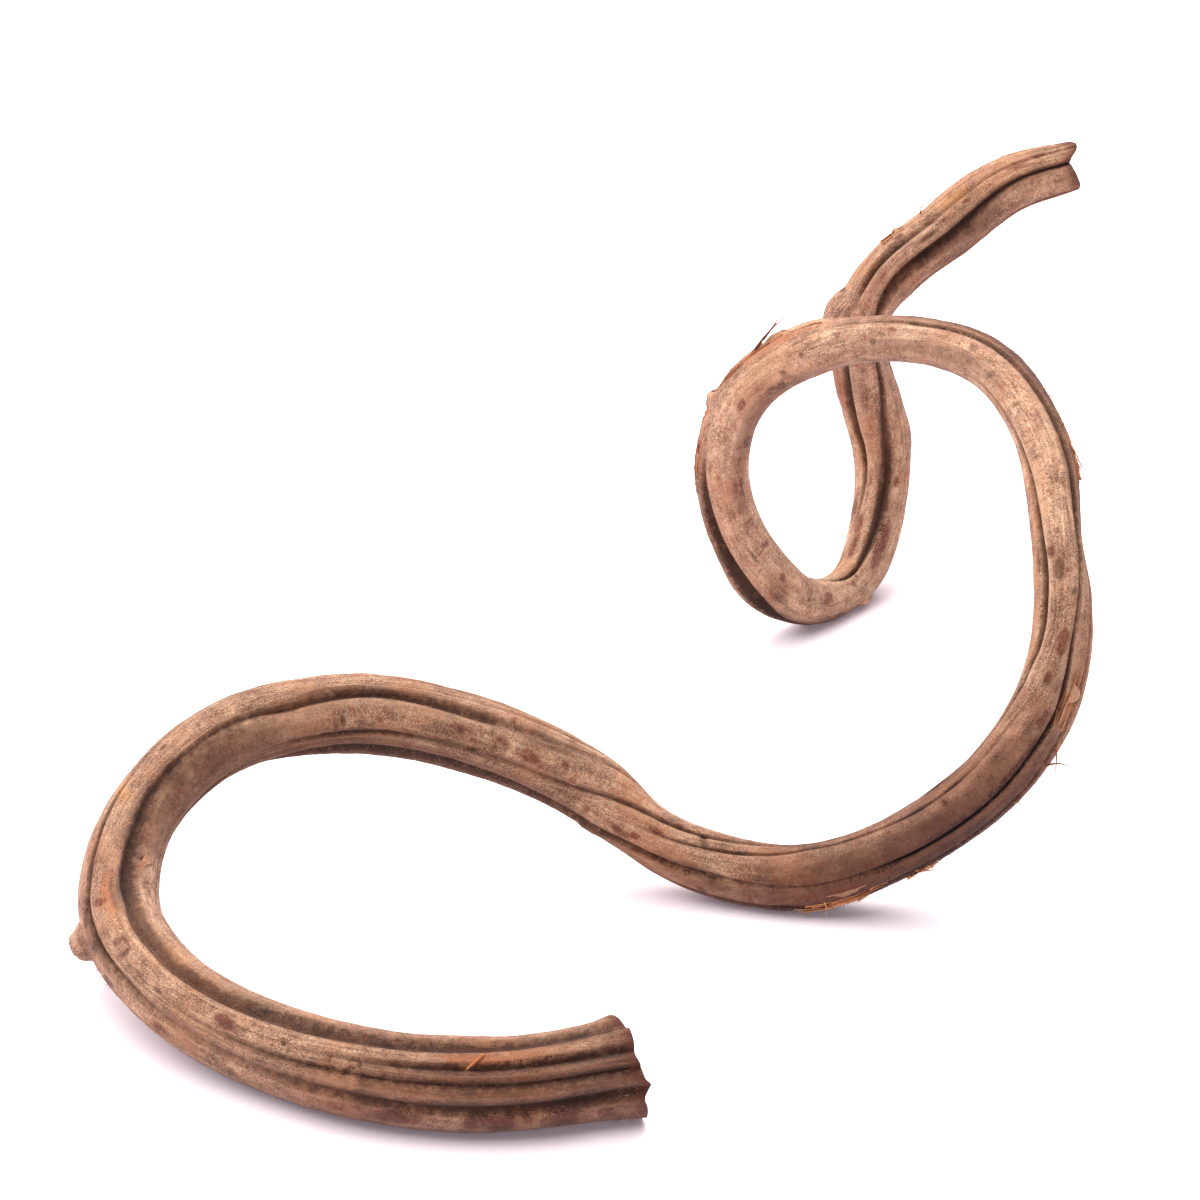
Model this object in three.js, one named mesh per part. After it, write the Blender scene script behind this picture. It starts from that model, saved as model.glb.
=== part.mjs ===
// Dried liana: one furrowed woody stem bent in an S that closes into a loop at its thin end.
// Lengths are millimetres, +Z up, +X right and +Y away from the front.
import * as THREE from "three";

// The middle line of the stem, thick cut end first: along the floor, round the left bend,
// down to the floor again, up the right bend, round the loop and up to the thin end.
const ROUTE = [
  [7, -156, 12], [-26, -163, 11.4], [-59, -159, 11.2], [-92, -143, 11.6],
  [-120, -120, 17], [-135, -91, 24], [-129, -62, 38], [-104, -42, 51],
  [-70, -37, 55], [-36, -37, 47], [-5, -38, 32], [25, -45, 13],
  [56, -53, 8.4], [87, -55, 21], [114, -52, 43], [129, -39, 70],
  [132, -19, 97], [128, 9, 118], [115, 39, 129], [94, 64, 127],
  [70, 82, 117], [48, 95, 98], [39, 104, 68], [46, 110, 37],
  [65, 121, 10], [85, 142, 8], [95, 163, 30], [92, 170, 59],
  [86, 163, 87], [93, 156, 112], [112, 153, 130], [130, 153, 143],
  [149, 157, 148],
];

// The angles round the stem start from the side that faces this far front point.
const FRONT = [0, -1034, 599];

// Reach of the section at a length along the stem: right side, left side, front and back.
const SECTION = [
  [0, 15.0, 13.2, 12.4], [6, 14.0, 12.8, 12.3], [14, 13.5, 12.2, 12.2],
  [50, 13.3, 11.6, 12.0],
  [80, 13.4, 11.3, 12.0], [100, 12.9, 11.1, 11.8], [125, 11.7, 11.3, 11.4],
  [150, 11.8, 11.0, 11.0], [180, 12.5, 9.8, 10.8], [205, 11.2, 9.5, 10.4],
  [228, 9.9, 10.6, 10.2], [245, 10.3, 10.8, 10.2], [260, 11.5, 10.7, 10.3],
  [280, 12.0, 11.5, 10.4], [300, 11.3, 11.6, 10.4], [322, 10.7, 11.7, 10.2],
  [340, 10.2, 11.0, 9.9], [354, 10.3, 10.2, 9.6], [368, 9.7, 7.9, 9.2],
  [380, 9.4, 8.6, 9.0], [395, 9.2, 9.8, 9.0], [412, 8.7, 10.5, 9.0],
  [440, 8.4, 9.8, 9.0], [470, 8.5, 10.1, 8.8], [490, 9.3, 9.6, 8.8],
  [510, 10.5, 8.5, 8.6], [525, 9.8, 8.3, 8.6], [542, 8.3, 8.2, 8.4],
  [557, 6.4, 8.3, 8.0], [566, 6.7, 8.2, 7.9], [578, 8.1, 7.8, 7.7],
  [600, 8.3, 7.0, 7.5], [622, 8.6, 6.5, 7.4], [648, 7.8, 6.5, 7.4],
  [675, 7.9, 6.5, 7.4], [690, 9.0, 6.6, 7.5], [712, 9.3, 7.2, 7.6],
  [740, 9.1, 7.5, 7.8], [765, 8.8, 8.6, 8.0], [785, 9.6, 8.8, 8.2],
  [798, 10.8, 9.1, 8.2], [810, 9.9, 9.3, 8.0], [822, 7.4, 8.9, 7.9],
  [843, 7.2, 7.2, 7.8], [858, 8.0, 8.2, 8.0], [872, 8.0, 9.4, 8.2],
  [886, 8.2, 10.0, 8.5], [902, 10.2, 10.5, 8.8], [912, 9.2, 11.6, 8.8],
  [924, 8.0, 12.2, 8.8], [938, 7.7, 10.6, 8.8], [952, 7.9, 9.8, 8.9],
  [960, 9.0, 9.2, 9.0], [970, 10.6, 8.4, 9.1], [990, 10.9, 8.5, 9.1],
  [1005, 10.3, 9.7, 9.0], [1020, 9.2, 9.4, 8.7], [1039, 8.6, 8.3, 8.3],
];

// The ten furrows, in order round the stem: length along it, angle of the bed, depth,
// then how far its banks stand off the bed on the left and on the right, in degrees.
const FURROWS = [
  // Lower front furrow, then the outer crack of the left bend.
  [
    [0, -29, 2.4, 15, 14], [50, -30, 2.0, 15, 14], [80, -27, 1.6, 15, 14],
    [110, -28, 1.0, 14, 13], [130, -32, 0.8, 12, 10], [145, -34, 1.1, 11, 9],
    [155, -36, 1.5, 10, 8], [165, -38, 2.0, 9, 7], [172, -39, 2.3, 9, 7],
    [184, -42, 2.3, 8, 7], [196, -48, 2.0, 8, 6], [206, -56, 1.3, 7, 6],
    [218, -66, 0.5, 7, 7],
    [250, -82, 0.7, 8, 8], [310, -100, 1.2, 8, 8], [350, -125, 1.3, 8, 8],
    [380, -165, 1.3, 8, 8], [411, -190, 1.2, 8, 8], [480, -175, 1.4, 8, 8],
    [560, -170, 1.2, 8, 8], [670, -170, 1.3, 8, 8], [750, -168, 1.2, 8, 8],
    [824, -172, 1.0, 7, 7], [846, -165, 1.1, 7, 7], [869, -148, 1.2, 8, 8],
    [893, -130, 1.4, 8, 8], [950, -118, 1.2, 8, 8], [1040, -110, 1.4, 8, 8],
  ],
  // Upper front furrow, which fades before the left bend and opens again behind.
  [
    [0, 2, 1.8, 13, 8], [50, 3, 1.6, 12, 8], [80, 1, 1.4, 11, 8],
    [100, -4, 1.1, 10, 7], [120, -9, 0.6, 8, 7], [138, -14, 0.2, 5, 5],
    [182, -26, 0, 5, 5], [216, -40, 0, 6, 6], [250, -58, 0.2, 7, 7],
    [310, -79, 0.5, 7, 7],
    [350, -102, 1.0, 7, 7], [380, -145, 1.2, 7, 7], [411, -165, 1.4, 7, 7],
    [480, -150, 1.3, 7, 7], [560, -146, 1.5, 7, 7], [670, -146, 1.2, 7, 7],
    [750, -144, 1.4, 7, 7], [824, -155, 1.2, 6, 6], [846, -138, 1.0, 7, 7],
    [869, -118, 1.0, 7, 7], [893, -100, 1.2, 7, 7], [917, -104, 1.2, 7, 7],
    [950, -90, 1.0, 8, 8], [1040, -82, 0.7, 8, 8],
  ],
  // Hollow under the main ridge.
  [
    [0, 27, 2.0, 15, 9], [50, 25, 1.7, 14, 8], [75, 20, 0.9, 12, 8],
    [95, 15, 0.3, 8, 6], [110, 10, 0, 5, 5], [135, 3, 0, 5, 5], [160, -8, 0, 5, 5],
    [182, -13, 0, 5, 5], [216, -25, 0, 5, 5], [250, -39, 0, 6, 6],
    [310, -60, 0.4, 6, 6], [350, -79, 0.8, 6, 6], [380, -126, 1.0, 7, 7],
    [411, -140, 1.1, 7, 7], [480, -127, 1.0, 7, 7], [560, -124, 1.0, 7, 7],
    [670, -124, 1.1, 7, 7], [750, -124, 1.0, 7, 7], [824, -138, 0.9, 6, 6],
    [846, -111, 0.8, 7, 7], [869, -90, 0.6, 7, 7], [893, -78, 0.3, 7, 7],
    [917, -84, 0.3, 7, 7], [940, -66, 0.1, 7, 7], [962, -54, 0.2, 7, 7],
    [1040, -54, 0.3, 7, 7],
  ],
  // Broad deep furrow behind the main ridge, later the left furrow of the tail.
  [
    [0, 61, 1.8, 11, 18], [25, 56, 2.3, 11, 21], [50, 53, 2.6, 11, 22],
    [75, 49, 2.9, 11, 23], [105, 41, 3.3, 11, 24], [133, 31, 3.5, 11, 25],
    [160, 26, 3.8, 10, 27], [168, 28, 3.9, 10, 26], [173, 27, 4.0, 9, 25],
    [178, 22, 4.0, 9, 24], [184, 15, 4.0, 9, 24],
    [191, 10, 3.2, 9, 25], [200, 6, 2.3, 10, 27], [211, -5, 1.7, 10, 25],
    [222, -13, 1.3, 10, 21], [232, -17, 1.1, 10, 17], [240, -19, 1.1, 11, 14],
    [251, -17, 1.6, 13, 12], [258, -14, 2.0, 15, 11], [266, -20, 2.1, 18, 9],
    [274, -26, 2.2, 21, 8],
    [283, -30, 2.2, 22, 8], [300, -31, 2.0, 22, 8], [312, -30, 1.6, 18, 8],
    [320, -33, 1.0, 15, 8], [335, -40, 0.6, 13, 8], [352, -60, 0.8, 8, 8],
    [367, -88, 1.2, 8, 8], [380, -107, 1.3, 8, 8], [411, -115, 1.3, 8, 8],
    [480, -104, 1.2, 8, 8], [560, -101, 1.0, 8, 8], [670, -101, 1.0, 8, 8],
    [750, -105, 1.1, 8, 8], [824, -119, 1.0, 8, 8], [846, -84, 0.6, 7, 7],
    [869, -58, 0.4, 7, 7], [885, -47, 1.2, 8, 7], [893, -43, 2.2, 10, 6],
    [900, -44, 2.9, 12, 6], [908, -50, 3.2, 13, 7], [917, -53, 3.2, 13, 8],
    [925, -49, 2.9, 12, 8], [932, -42, 2.3, 10, 8], [942, -34, 1.2, 8, 7],
    [952, -27, 0.5, 9, 6], [957, -24, 0.9, 12, 6], [961, -22, 2.2, 15, 5],
    [972, -20, 2.2, 17, 5],
    [985, -21, 1.3, 16, 5], [1000, -27, 0.7, 13, 6], [1010, -32, 0.6, 9, 6],
    [1020, -36, 0.6, 8, 6], [1040, -38, 0.6, 8, 6],
  ],
  // Second furrow of the arc, inner furrow of the right bend, main furrow of the tail.
  [
    [0, 100, 1.4, 8, 8], [50, 96, 1.2, 8, 8], [105, 90, 0.8, 7, 7],
    [150, 82, 0.4, 6, 7], [182, 70, 0.3, 6, 7], [204, 62, 0.2, 6, 7],
    [227, 54, 0.1, 6, 6], [245, 47, 0.1, 6, 6], [255, 41, 0.4, 6, 6],
    [265, 38, 0.9, 9, 8], [275, 34, 1.6, 12, 10], [290, 28, 1.5, 12, 10],
    [308, 22, 0.9, 11, 9], [335, 18, 0.8, 9, 8], [345, 12, 1.0, 9, 8],
    [351, 4, 1.2, 10, 8], [357, -7, 1.4, 10, 8], [363, -17, 1.5, 10, 8],
    [370, -28, 1.6, 9, 8], [379, -40, 1.6, 8, 7], [388, -50, 1.5, 8, 6],
    [397, -62, 1.2, 8, 6], [410, -78, 1.0, 7, 6], [430, -84, 1.0, 7, 6],
    [470, -80, 0.8, 7, 6], [492, -74, 0.8, 8, 5], [505, -64, 1.0, 9, 5],
    [513, -55, 1.6, 11, 5], [518, -51, 2.1, 12, 5], [523, -43, 2.5, 14, 5],
    [530, -36, 2.8, 15, 5], [540, -33, 3.0, 15, 5], [549, -33, 3.0, 15, 5],
    [558, -39, 2.6, 14, 5], [567, -43, 2.3, 12, 5], [585, -47, 1.8, 10, 5],
    [600, -47, 1.3, 9, 5], [614, -46, 0.6, 8, 6], [630, -45, 0.2, 8, 6],
    [677, -48, 0.1, 8, 6], [750, -58, 0.1, 8, 6], [810, -78, 0.3, 8, 6],
    [828, -76, 0.6, 8, 6], [838, -48, 1.1, 8, 6], [846, -27, 1.9, 9, 8],
    [852, -18, 2.5, 10, 9], [860, -10, 3.0, 12, 11], [870, -5, 3.2, 15, 17],
    [882, -2, 3.2, 18, 22], [893, 5, 2.8, 18, 22], [905, 8, 2.3, 13, 16],
    [914, 13, 2.1, 11, 12],
    [921, 21, 2.4, 9, 10], [929, 28, 2.1, 8, 9], [940, 32, 2.0, 8, 10],
    [953, 26, 2.6, 7, 14], [962, 22, 3.0, 7, 22], [972, 21, 3.2, 7, 24],
    [985, 20, 3.3, 7, 24], [993, 17, 3.3, 7, 24], [1000, 13, 3.2, 7, 22],
    [1010, 5, 2.9, 7, 20], [1018, -1, 2.4, 7, 16], [1025, -5, 2.0, 7, 12],
    [1033, -7, 2.0, 7, 10], [1040, -6, 2.4, 7, 9],
  ],
  // Faint furrow that shows on the top of the stem where it touches the floor midway.
  [
    [0, 118, 0.8, 6, 6], [105, 111, 1.0, 6, 6], [182, 92, 1.0, 6, 6],
    [227, 76, 0.6, 6, 6], [250, 61, 0.3, 5, 5], [265, 50, 0.1, 4, 4],
    [278, 43, 0, 4, 4], [308, 38, 0, 4, 4], [339, 36, 0, 4, 4],
    [351, 28, 0, 5, 5], [363, 12, 0.2, 5, 5], [371, 1, 0.5, 5, 5],
    [380, -12, 0.8, 6, 6], [390, -25, 1.1, 6, 6], [400, -38, 1.1, 6, 6],
    [411, -51, 1.0, 6, 6], [422, -61, 1.0, 6, 5], [434, -60, 0.8, 6, 5],
    [446, -53, 0.8, 6, 5], [457, -48, 0.8, 6, 5], [470, -47, 0.8, 6, 5],
    [484, -46, 0.5, 6, 5], [498, -40, 0.3, 6, 6], [513, -18, 0.1, 6, 6],
    [537, -2, 0, 6, 6],
    [596, 2, 0, 6, 6], [677, 4, 0, 6, 6], [750, 0, 0, 6, 6],
    [805, -8, 0.1, 6, 6], [826, -10, 0.2, 6, 6], [838, 12, 0.2, 6, 6],
    [869, 45, 0.1, 6, 6], [893, 56, 0.1, 6, 6], [915, 66, 0.3, 6, 6],
    [940, 82, 0.7, 6, 6], [962, 82, 0.8, 6, 6], [984, 78, 0.6, 6, 6],
    [1040, 70, 0.8, 6, 6],
  ],
  // Lower furrow of the arc, long crack of the right bend, gutter of the loop.
  [
    [0, 143, 1.4, 8, 8], [105, 135, 1.4, 8, 8], [182, 116, 1.2, 8, 8],
    [227, 101, 1.0, 8, 8], [245, 92, 1.2, 8, 8], [253, 83, 1.5, 10, 8],
    [263, 70, 1.9, 11, 15], [278, 60, 2.2, 11, 22], [308, 57, 2.0, 10, 22],
    [339, 60, 1.9, 10, 19], [354, 62, 1.8, 10, 16], [361, 58, 1.8, 11, 14],
    [367, 50, 2.0, 12, 12], [375, 40, 1.8, 12, 12], [386, 26, 1.3, 10, 12],
    [395, 17, 1.0, 8, 11], [411, 11, 0.7, 6, 8], [434, 12, 0.7, 4, 5],
    [444, 15, 1.2, 4, 5], [451, 18, 2.4, 4, 5], [470, 20, 2.8, 4, 5],
    [484, 21, 2.6, 4, 5], [495, 24, 3.0, 4, 6], [502, 29, 3.4, 6, 7],
    [509, 33, 3.4, 7, 9], [517, 28, 3.0, 5, 7], [527, 25, 2.2, 4, 6],
    [534, 29, 1.2, 5, 7], [545, 40, 1.2, 8, 8], [552, 46, 1.6, 10, 9],
    [558, 48, 1.9, 12, 9], [567, 47, 2.2, 12, 10], [579, 50, 2.3, 12, 10],
    [600, 51, 2.2, 12, 10], [625, 51, 2.1, 11, 10], [648, 50, 1.6, 10, 9],
    [665, 48, 0.8, 9, 8], [685, 46, 0.2, 8, 8], [744, 42, 0.1, 8, 9],
    [754, 43, 0.9, 7, 9], [762, 46, 3.2, 10, 12], [772, 50, 4.8, 15, 15],
    [781, 53, 5.6, 18, 18], [790, 54, 6.0, 20, 20], [800, 55, 6.1, 21, 21],
    [808, 57, 5.8, 20, 21], [815, 64, 4.8, 19, 18], [822, 75, 3.4, 17, 13],
    [831, 92, 1.8, 9, 9], [846, 108, 1.0, 8, 8], [869, 110, 1.2, 8, 8],
    [893, 111, 1.4, 8, 8], [950, 118, 1.4, 8, 8], [1040, 116, 1.6, 8, 8],
  ],
  // Three furrows of the back and the underside.
  [
    [0, 176, 1.6, 9, 9], [105, 164, 1.7, 9, 9], [182, 148, 1.6, 9, 9],
    [250, 118, 1.4, 9, 9], [308, 98, 1.6, 9, 9], [360, 94, 1.5, 9, 9],
    [395, 71, 1.2, 8, 8], [411, 62, 0.9, 8, 8], [450, 60, 0.8, 8, 8],
    [535, 68, 0.8, 8, 8], [560, 79, 0.9, 7, 8], [600, 84, 1.0, 7, 8],
    [742, 86, 0.9, 7, 8], [778, 99, 0.9, 6, 8], [801, 110, 0.9, 6, 8],
    [822, 120, 1.0, 7, 8], [846, 137, 1.2, 8, 8], [893, 143, 1.5, 8, 8],
    [1040, 150, 1.4, 8, 8],
  ],
  [
    [0, 212, 1.8, 10, 10], [105, 203, 1.5, 10, 10], [182, 186, 1.8, 10, 10],
    [250, 163, 1.4, 9, 9], [308, 143, 1.8, 9, 9], [360, 134, 1.5, 9, 9],
    [411, 103, 1.5, 9, 9], [484, 103, 1.2, 8, 8], [560, 114, 1.5, 8, 8],
    [670, 118, 1.3, 8, 8], [742, 119, 1.5, 8, 8], [822, 144, 1.2, 7, 8],
    [846, 158, 1.2, 8, 8], [893, 172, 1.5, 8, 8], [1040, 182, 1.3, 8, 8],
  ],
  [
    [0, 268, 1.5, 10, 10], [105, 262, 1.8, 10, 10], [182, 246, 1.5, 10, 10],
    [250, 223, 1.8, 9, 9], [308, 194, 1.5, 9, 9], [360, 172, 1.8, 9, 9],
    [411, 138, 1.4, 9, 9], [484, 143, 1.7, 9, 9], [560, 150, 1.4, 9, 9],
    [670, 153, 1.7, 9, 9], [742, 154, 1.4, 9, 9], [822, 167, 1.1, 7, 7],
    [846, 178, 1.2, 7, 7], [893, 202, 1.4, 8, 8], [1040, 216, 1.2, 8, 8],
  ],
];

// Buds, knots and lifted bark: length along the stem, angle, height, half length and
// half width in degrees.
const LUMPS = [
  [165, -90, 4.5, 3.4, 18], // bud on the outside of the left bend
  [949, -80, 3.6, 7.5, 30], // knot where the tail leaves the loop
  [952, -40, 1.5, 6.0, 22], // its foot, which closes the furrow beside it
  [703, 86, 1.2, 3.2, 16], // torn edge on top of the loop
  [692, 80, 1.0, 8.0, 18], // peel behind it
  [731, 84, 1.7, 2.4, 16], // torn scale on the loop's left side
  [847, 84, 0.9, 2.8, 16], // scale at the bottom of the loop
  [356, 82, 0.5, 3.4, 14], // ragged lower edge before the middle contact
  [427, 70, 0.7, 9.0, 20], // peel under the middle contact
];

const RING_STEP = 9.8; // distance between rings of the surface
const LEAST_STEP = 3.2; // rings of the even steps that come nearer to a lump's are left out
const SHORT_LUMP = 5; // a lump with a half length below this has rings of its own
const LUMP_RINGS = [-1.25, -0.7, 0.7, 1.25]; // at its foot and its top, in half lengths

// How far the edge of each cut end stands forward, by angle round the stem.
const THICK_CUT = [
  [-90, 3.4], [-58, 3.2], [-40, 2.4], [-27, 4.6], [-12, 2.6], [5, 2.0], [16, 1.0],
  [34, 1.2], [62, 0.4], [90, -2.6], [135, -1.5], [180, -0.5], [225, 1.4], [270, 3.4],
];
const THIN_CUT = [
  [-90, -3.0], [-74, -1.6], [-58, 3.4], [-32, 3.6], [-8, 0.2], [20, 0.8],
  [60, 1.8], [90, 1.4], [150, 0.2], [200, -1.0], [240, -2.0], [270, -3.0],
];
const LEAST_GAP = 1.6; // degrees of rib left between two furrows
const FLOOR = 0;
const BARK = { color: 0x9b7f66, roughness: 0.9, metalness: 0 };

const rad = THREE.MathUtils.degToRad;

// Smooth value between the rows of a table, by length along the stem.
function valueAt(rows, s, column) {
  const last = rows.length - 1;
  if (s <= rows[0][0]) return rows[0][column];
  if (s >= rows[last][0]) return rows[last][column];
  let i = 0;
  while (rows[i + 1][0] < s) i += 1;
  const before = rows[Math.max(i - 1, 0)];
  const [a, b] = [rows[i], rows[i + 1]];
  const after = rows[Math.min(i + 2, last)];
  const step = b[0] - a[0];
  const f = (s - a[0]) / step;
  const leave = ((b[column] - before[column]) / (b[0] - before[0])) * step;
  const arrive = ((after[column] - a[column]) / (after[0] - a[0])) * step;
  const f2 = f * f;
  const f3 = f2 * f;
  return (
    (2 * f3 - 3 * f2 + 1) * a[column] +
    (f3 - 2 * f2 + f) * leave +
    (3 * f2 - 2 * f3) * b[column] +
    (f3 - f2) * arrive
  );
}

// Point of the middle line at a route number such as 3.5, half way from point 3 to 4.
function routePoint(number) {
  const last = ROUTE.length - 1;
  const i = Math.min(Math.floor(number), last - 1);
  const f = number - i;
  const at = (k) => {
    if (k < 0) return ROUTE[0].map((v, j) => 2 * v - ROUTE[1][j]);
    if (k > last) return ROUTE[last].map((v, j) => 2 * v - ROUTE[last - 1][j]);
    return ROUTE[k];
  };
  const [p, a, b, q] = [at(i - 1), at(i), at(i + 1), at(i + 2)];
  return new THREE.Vector3(
    ...[0, 1, 2].map(
      (j) =>
        0.5 *
        (2 * a[j] +
          (b[j] - p[j]) * f +
          (2 * p[j] - 5 * a[j] + 4 * b[j] - q[j]) * f * f +
          (3 * a[j] - p[j] - 3 * b[j] + q[j]) * f * f * f),
    ),
  );
}

// Walk the route in fine steps, to find points by their length along the stem.
const STEPS = 60 * (ROUTE.length - 1);
const walk = [];
for (let i = 0; i <= STEPS; i += 1) {
  const number = (i / STEPS) * (ROUTE.length - 1);
  const point = routePoint(number);
  const from = walk[i - 1];
  walk.push({ number, point, s: from ? from.s + point.distanceTo(from.point) : 0 });
}
const LENGTH = walk[STEPS].s;

function numberAt(s) {
  let i = 0;
  while (i < STEPS - 1 && walk[i + 1].s < s) i += 1;
  const [a, b] = [walk[i], walk[i + 1]];
  return a.number + ((s - a.s) / (b.s - a.s)) * (b.number - a.number);
}

// Middle point, direction of the stem, and the front and right sides of its section.
function frameAt(s) {
  const clear = 0.01;
  const number = Math.min(Math.max(numberAt(s), clear), ROUTE.length - 1 - clear);
  const centre = routePoint(number);
  const along = routePoint(number + clear).sub(routePoint(number - clear)).normalize();
  const front = new THREE.Vector3(...FRONT).sub(centre).normalize();
  front.addScaledVector(along, -front.dot(along)).normalize();
  const right = along.clone().cross(front);
  return { centre: routePoint(numberAt(s)), along, front, right };
}

// Distance from the middle line to the bark with no furrows: an oval with unlike sides.
function ovalAt(s, angle) {
  const across = Math.sin(rad(angle));
  const ahead = Math.cos(rad(angle));
  const side = valueAt(SECTION, s, across > 0 ? 1 : 2);
  return 1 / Math.hypot(across / side, ahead / valueAt(SECTION, s, 3));
}

// Height that the lumps add to the bark.
function lumpAt(s, angle) {
  let height = 0;
  for (const [at, turn, tall, halfLength, halfWidth] of LUMPS) {
    const away = ((angle - turn + 540) % 360) - 180;
    height += tall * Math.exp(-(((s - at) / halfLength) ** 6) - (away / halfWidth) ** 2);
  }
  return height;
}

// The furrows' lengths are those that the front view shows. Where the stem leans to the view,
// bark in front of the middle line shows farther back or on by this share of its distance.
function leanAt(s) {
  const { centre, along, front } = frameAt(s);
  const view = new THREE.Vector3(...FRONT).sub(centre);
  return view.dot(along) / view.dot(front);
}

// Angles of one ring: the two banks and the bed of each furrow, and the rib after it.
function ringAt(s) {
  const lean = leanAt(s);
  const beds = FURROWS.map((rows) => {
    const facing = Math.max(0, Math.cos(rad(valueAt(rows, s, 1))));
    const seen = s - lean * facing * valueAt(SECTION, s, 3);
    return {
      bed: valueAt(rows, seen, 1),
      depth: Math.max(0, valueAt(rows, seen, 2)),
      left: valueAt(rows, seen, 3),
      right: valueAt(rows, seen, 4),
    };
  });
  const next = (k) => beds[(k + 1) % beds.length];
  const turn = (k) => (k + 1 === beds.length ? 360 : 0);
  beds.forEach((furrow, k) => {
    const room = next(k).bed + turn(k) - furrow.bed - LEAST_GAP;
    const asked = furrow.right + next(k).left;
    if (asked > room) {
      furrow.right *= room / asked;
      next(k).left *= room / asked;
    }
  });
  const points = [];
  beds.forEach((furrow, k) => {
    const leftBank = furrow.bed - furrow.left;
    const rightBank = furrow.bed + furrow.right;
    const rib = (rightBank + next(k).bed + turn(k) - next(k).left) / 2;
    points.push([leftBank, 0], [furrow.bed, furrow.depth], [rightBank, 0], [rib, 0]);
  });
  return points;
}

// Lengths along the stem where the surface has its rings.
function ringPlaces() {
  const short = LUMPS.filter((lump) => lump[3] < SHORT_LUMP);
  const places = short.flatMap(([at, , , half]) => LUMP_RINGS.map((share) => at + share * half));
  const close = [...places];
  for (let s = RING_STEP; s < LENGTH - LEAST_STEP; s += RING_STEP) {
    if (close.every((place) => Math.abs(s - place) > LEAST_STEP)) places.push(s);
  }
  places.push(0, LENGTH);
  return places.sort((a, b) => a - b);
}

// How far a cut end's edge stands forward at an angle.
function cutEdge(cut, angle) {
  return valueAt(cut, ((angle + 450) % 360) - 90, 1);
}

function stemGeometry() {
  const places = ringPlaces();
  const vertices = [];
  places.forEach((s, i) => {
    const { centre, along, front, right } = frameAt(s);
    for (const [angle, depth] of ringAt(s)) {
      const reach = ovalAt(s, angle) + lumpAt(s, angle) - depth;
      const point = centre.clone();
      point.addScaledVector(front, reach * Math.cos(rad(angle)));
      point.addScaledVector(right, reach * Math.sin(rad(angle)));
      if (i === 0) point.addScaledVector(along, -cutEdge(THICK_CUT, angle));
      if (i === places.length - 1) {
        point.addScaledVector(along, cutEdge(THIN_CUT, angle));
      }
      point.z = Math.max(point.z, FLOOR);
      vertices.push(point);
    }
  });
  const around = vertices.length / places.length;
  const faces = [];
  for (let i = 0; i + 1 < places.length; i += 1) {
    for (let j = 0; j < around; j += 1) {
      const a = i * around + j;
      const b = i * around + ((j + 1) % around);
      faces.push(a, b, a + around, b, b + around, a + around);
    }
  }
  const lastRing = (places.length - 1) * around;
  vertices.push(frameAt(0).centre, frameAt(LENGTH).centre);
  const [thickMiddle, thinMiddle] = [vertices.length - 2, vertices.length - 1];
  for (let j = 0; j < around; j += 1) {
    const k = (j + 1) % around;
    faces.push(thickMiddle, k, j);
    faces.push(thinMiddle, lastRing + j, lastRing + k);
  }
  const geometry = new THREE.BufferGeometry();
  const flat = vertices.flatMap((v) => v.toArray());
  geometry.setAttribute("position", new THREE.Float32BufferAttribute(flat, 3));
  geometry.setIndex(faces);
  geometry.computeVertexNormals();
  return geometry;
}

// Set the stem over its origin: the middle of its box, on the floor.
const geometry = stemGeometry();
geometry.computeBoundingBox();
const box = geometry.boundingBox;
geometry.translate(-(box.min.x + box.max.x) / 2, -(box.min.y + box.max.y) / 2, 0);

const liana = new THREE.Mesh(geometry, new THREE.MeshStandardMaterial(BARK));
liana.name = "liana";

const group = new THREE.Group();
group.add(liana);
export default group;
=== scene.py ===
# Dried liana: the furrowed stem with its bark, loose fibres and flakes, on a pale floor.
# Shapes are worked out in millimetres in the frame of ROUTE, then set into the part's frame.
import math

import bpy
import numpy as np
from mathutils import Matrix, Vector


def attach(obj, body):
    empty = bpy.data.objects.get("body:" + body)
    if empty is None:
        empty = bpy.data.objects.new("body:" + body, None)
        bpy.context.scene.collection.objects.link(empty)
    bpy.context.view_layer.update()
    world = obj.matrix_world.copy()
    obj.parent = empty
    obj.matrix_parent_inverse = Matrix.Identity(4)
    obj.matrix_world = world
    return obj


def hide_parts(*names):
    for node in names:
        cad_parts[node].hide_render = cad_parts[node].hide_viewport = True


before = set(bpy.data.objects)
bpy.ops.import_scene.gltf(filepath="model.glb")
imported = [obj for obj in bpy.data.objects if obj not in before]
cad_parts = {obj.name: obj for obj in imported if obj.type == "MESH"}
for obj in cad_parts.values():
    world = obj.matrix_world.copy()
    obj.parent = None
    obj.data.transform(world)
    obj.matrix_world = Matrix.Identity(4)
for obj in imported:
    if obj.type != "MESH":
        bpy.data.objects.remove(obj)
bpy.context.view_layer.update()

MM = 0.001
SEED = 7

# Middle of the stem's box in the route's frame: the part's origin on the floor.
MIDDLE = np.array([4.09, 1.99, 0.0])

# The middle line of the stem, thick cut end first.
ROUTE = [
    [7, -156, 12], [-26, -163, 11.4], [-59, -159, 11.2], [-92, -143, 11.6],
    [-120, -120, 17], [-135, -91, 24], [-129, -62, 38], [-104, -42, 51],
    [-70, -37, 55], [-36, -37, 47], [-5, -38, 32], [25, -45, 13],
    [56, -53, 8.4], [87, -55, 21], [114, -52, 43], [129, -39, 70],
    [132, -19, 97], [128, 9, 118], [115, 39, 129], [94, 64, 127],
    [70, 82, 117], [48, 95, 98], [39, 104, 68], [46, 110, 37],
    [65, 121, 10], [85, 142, 8], [95, 163, 30], [92, 170, 59],
    [86, 163, 87], [93, 156, 112], [112, 153, 130], [130, 153, 143],
    [149, 157, 148],
]

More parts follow.
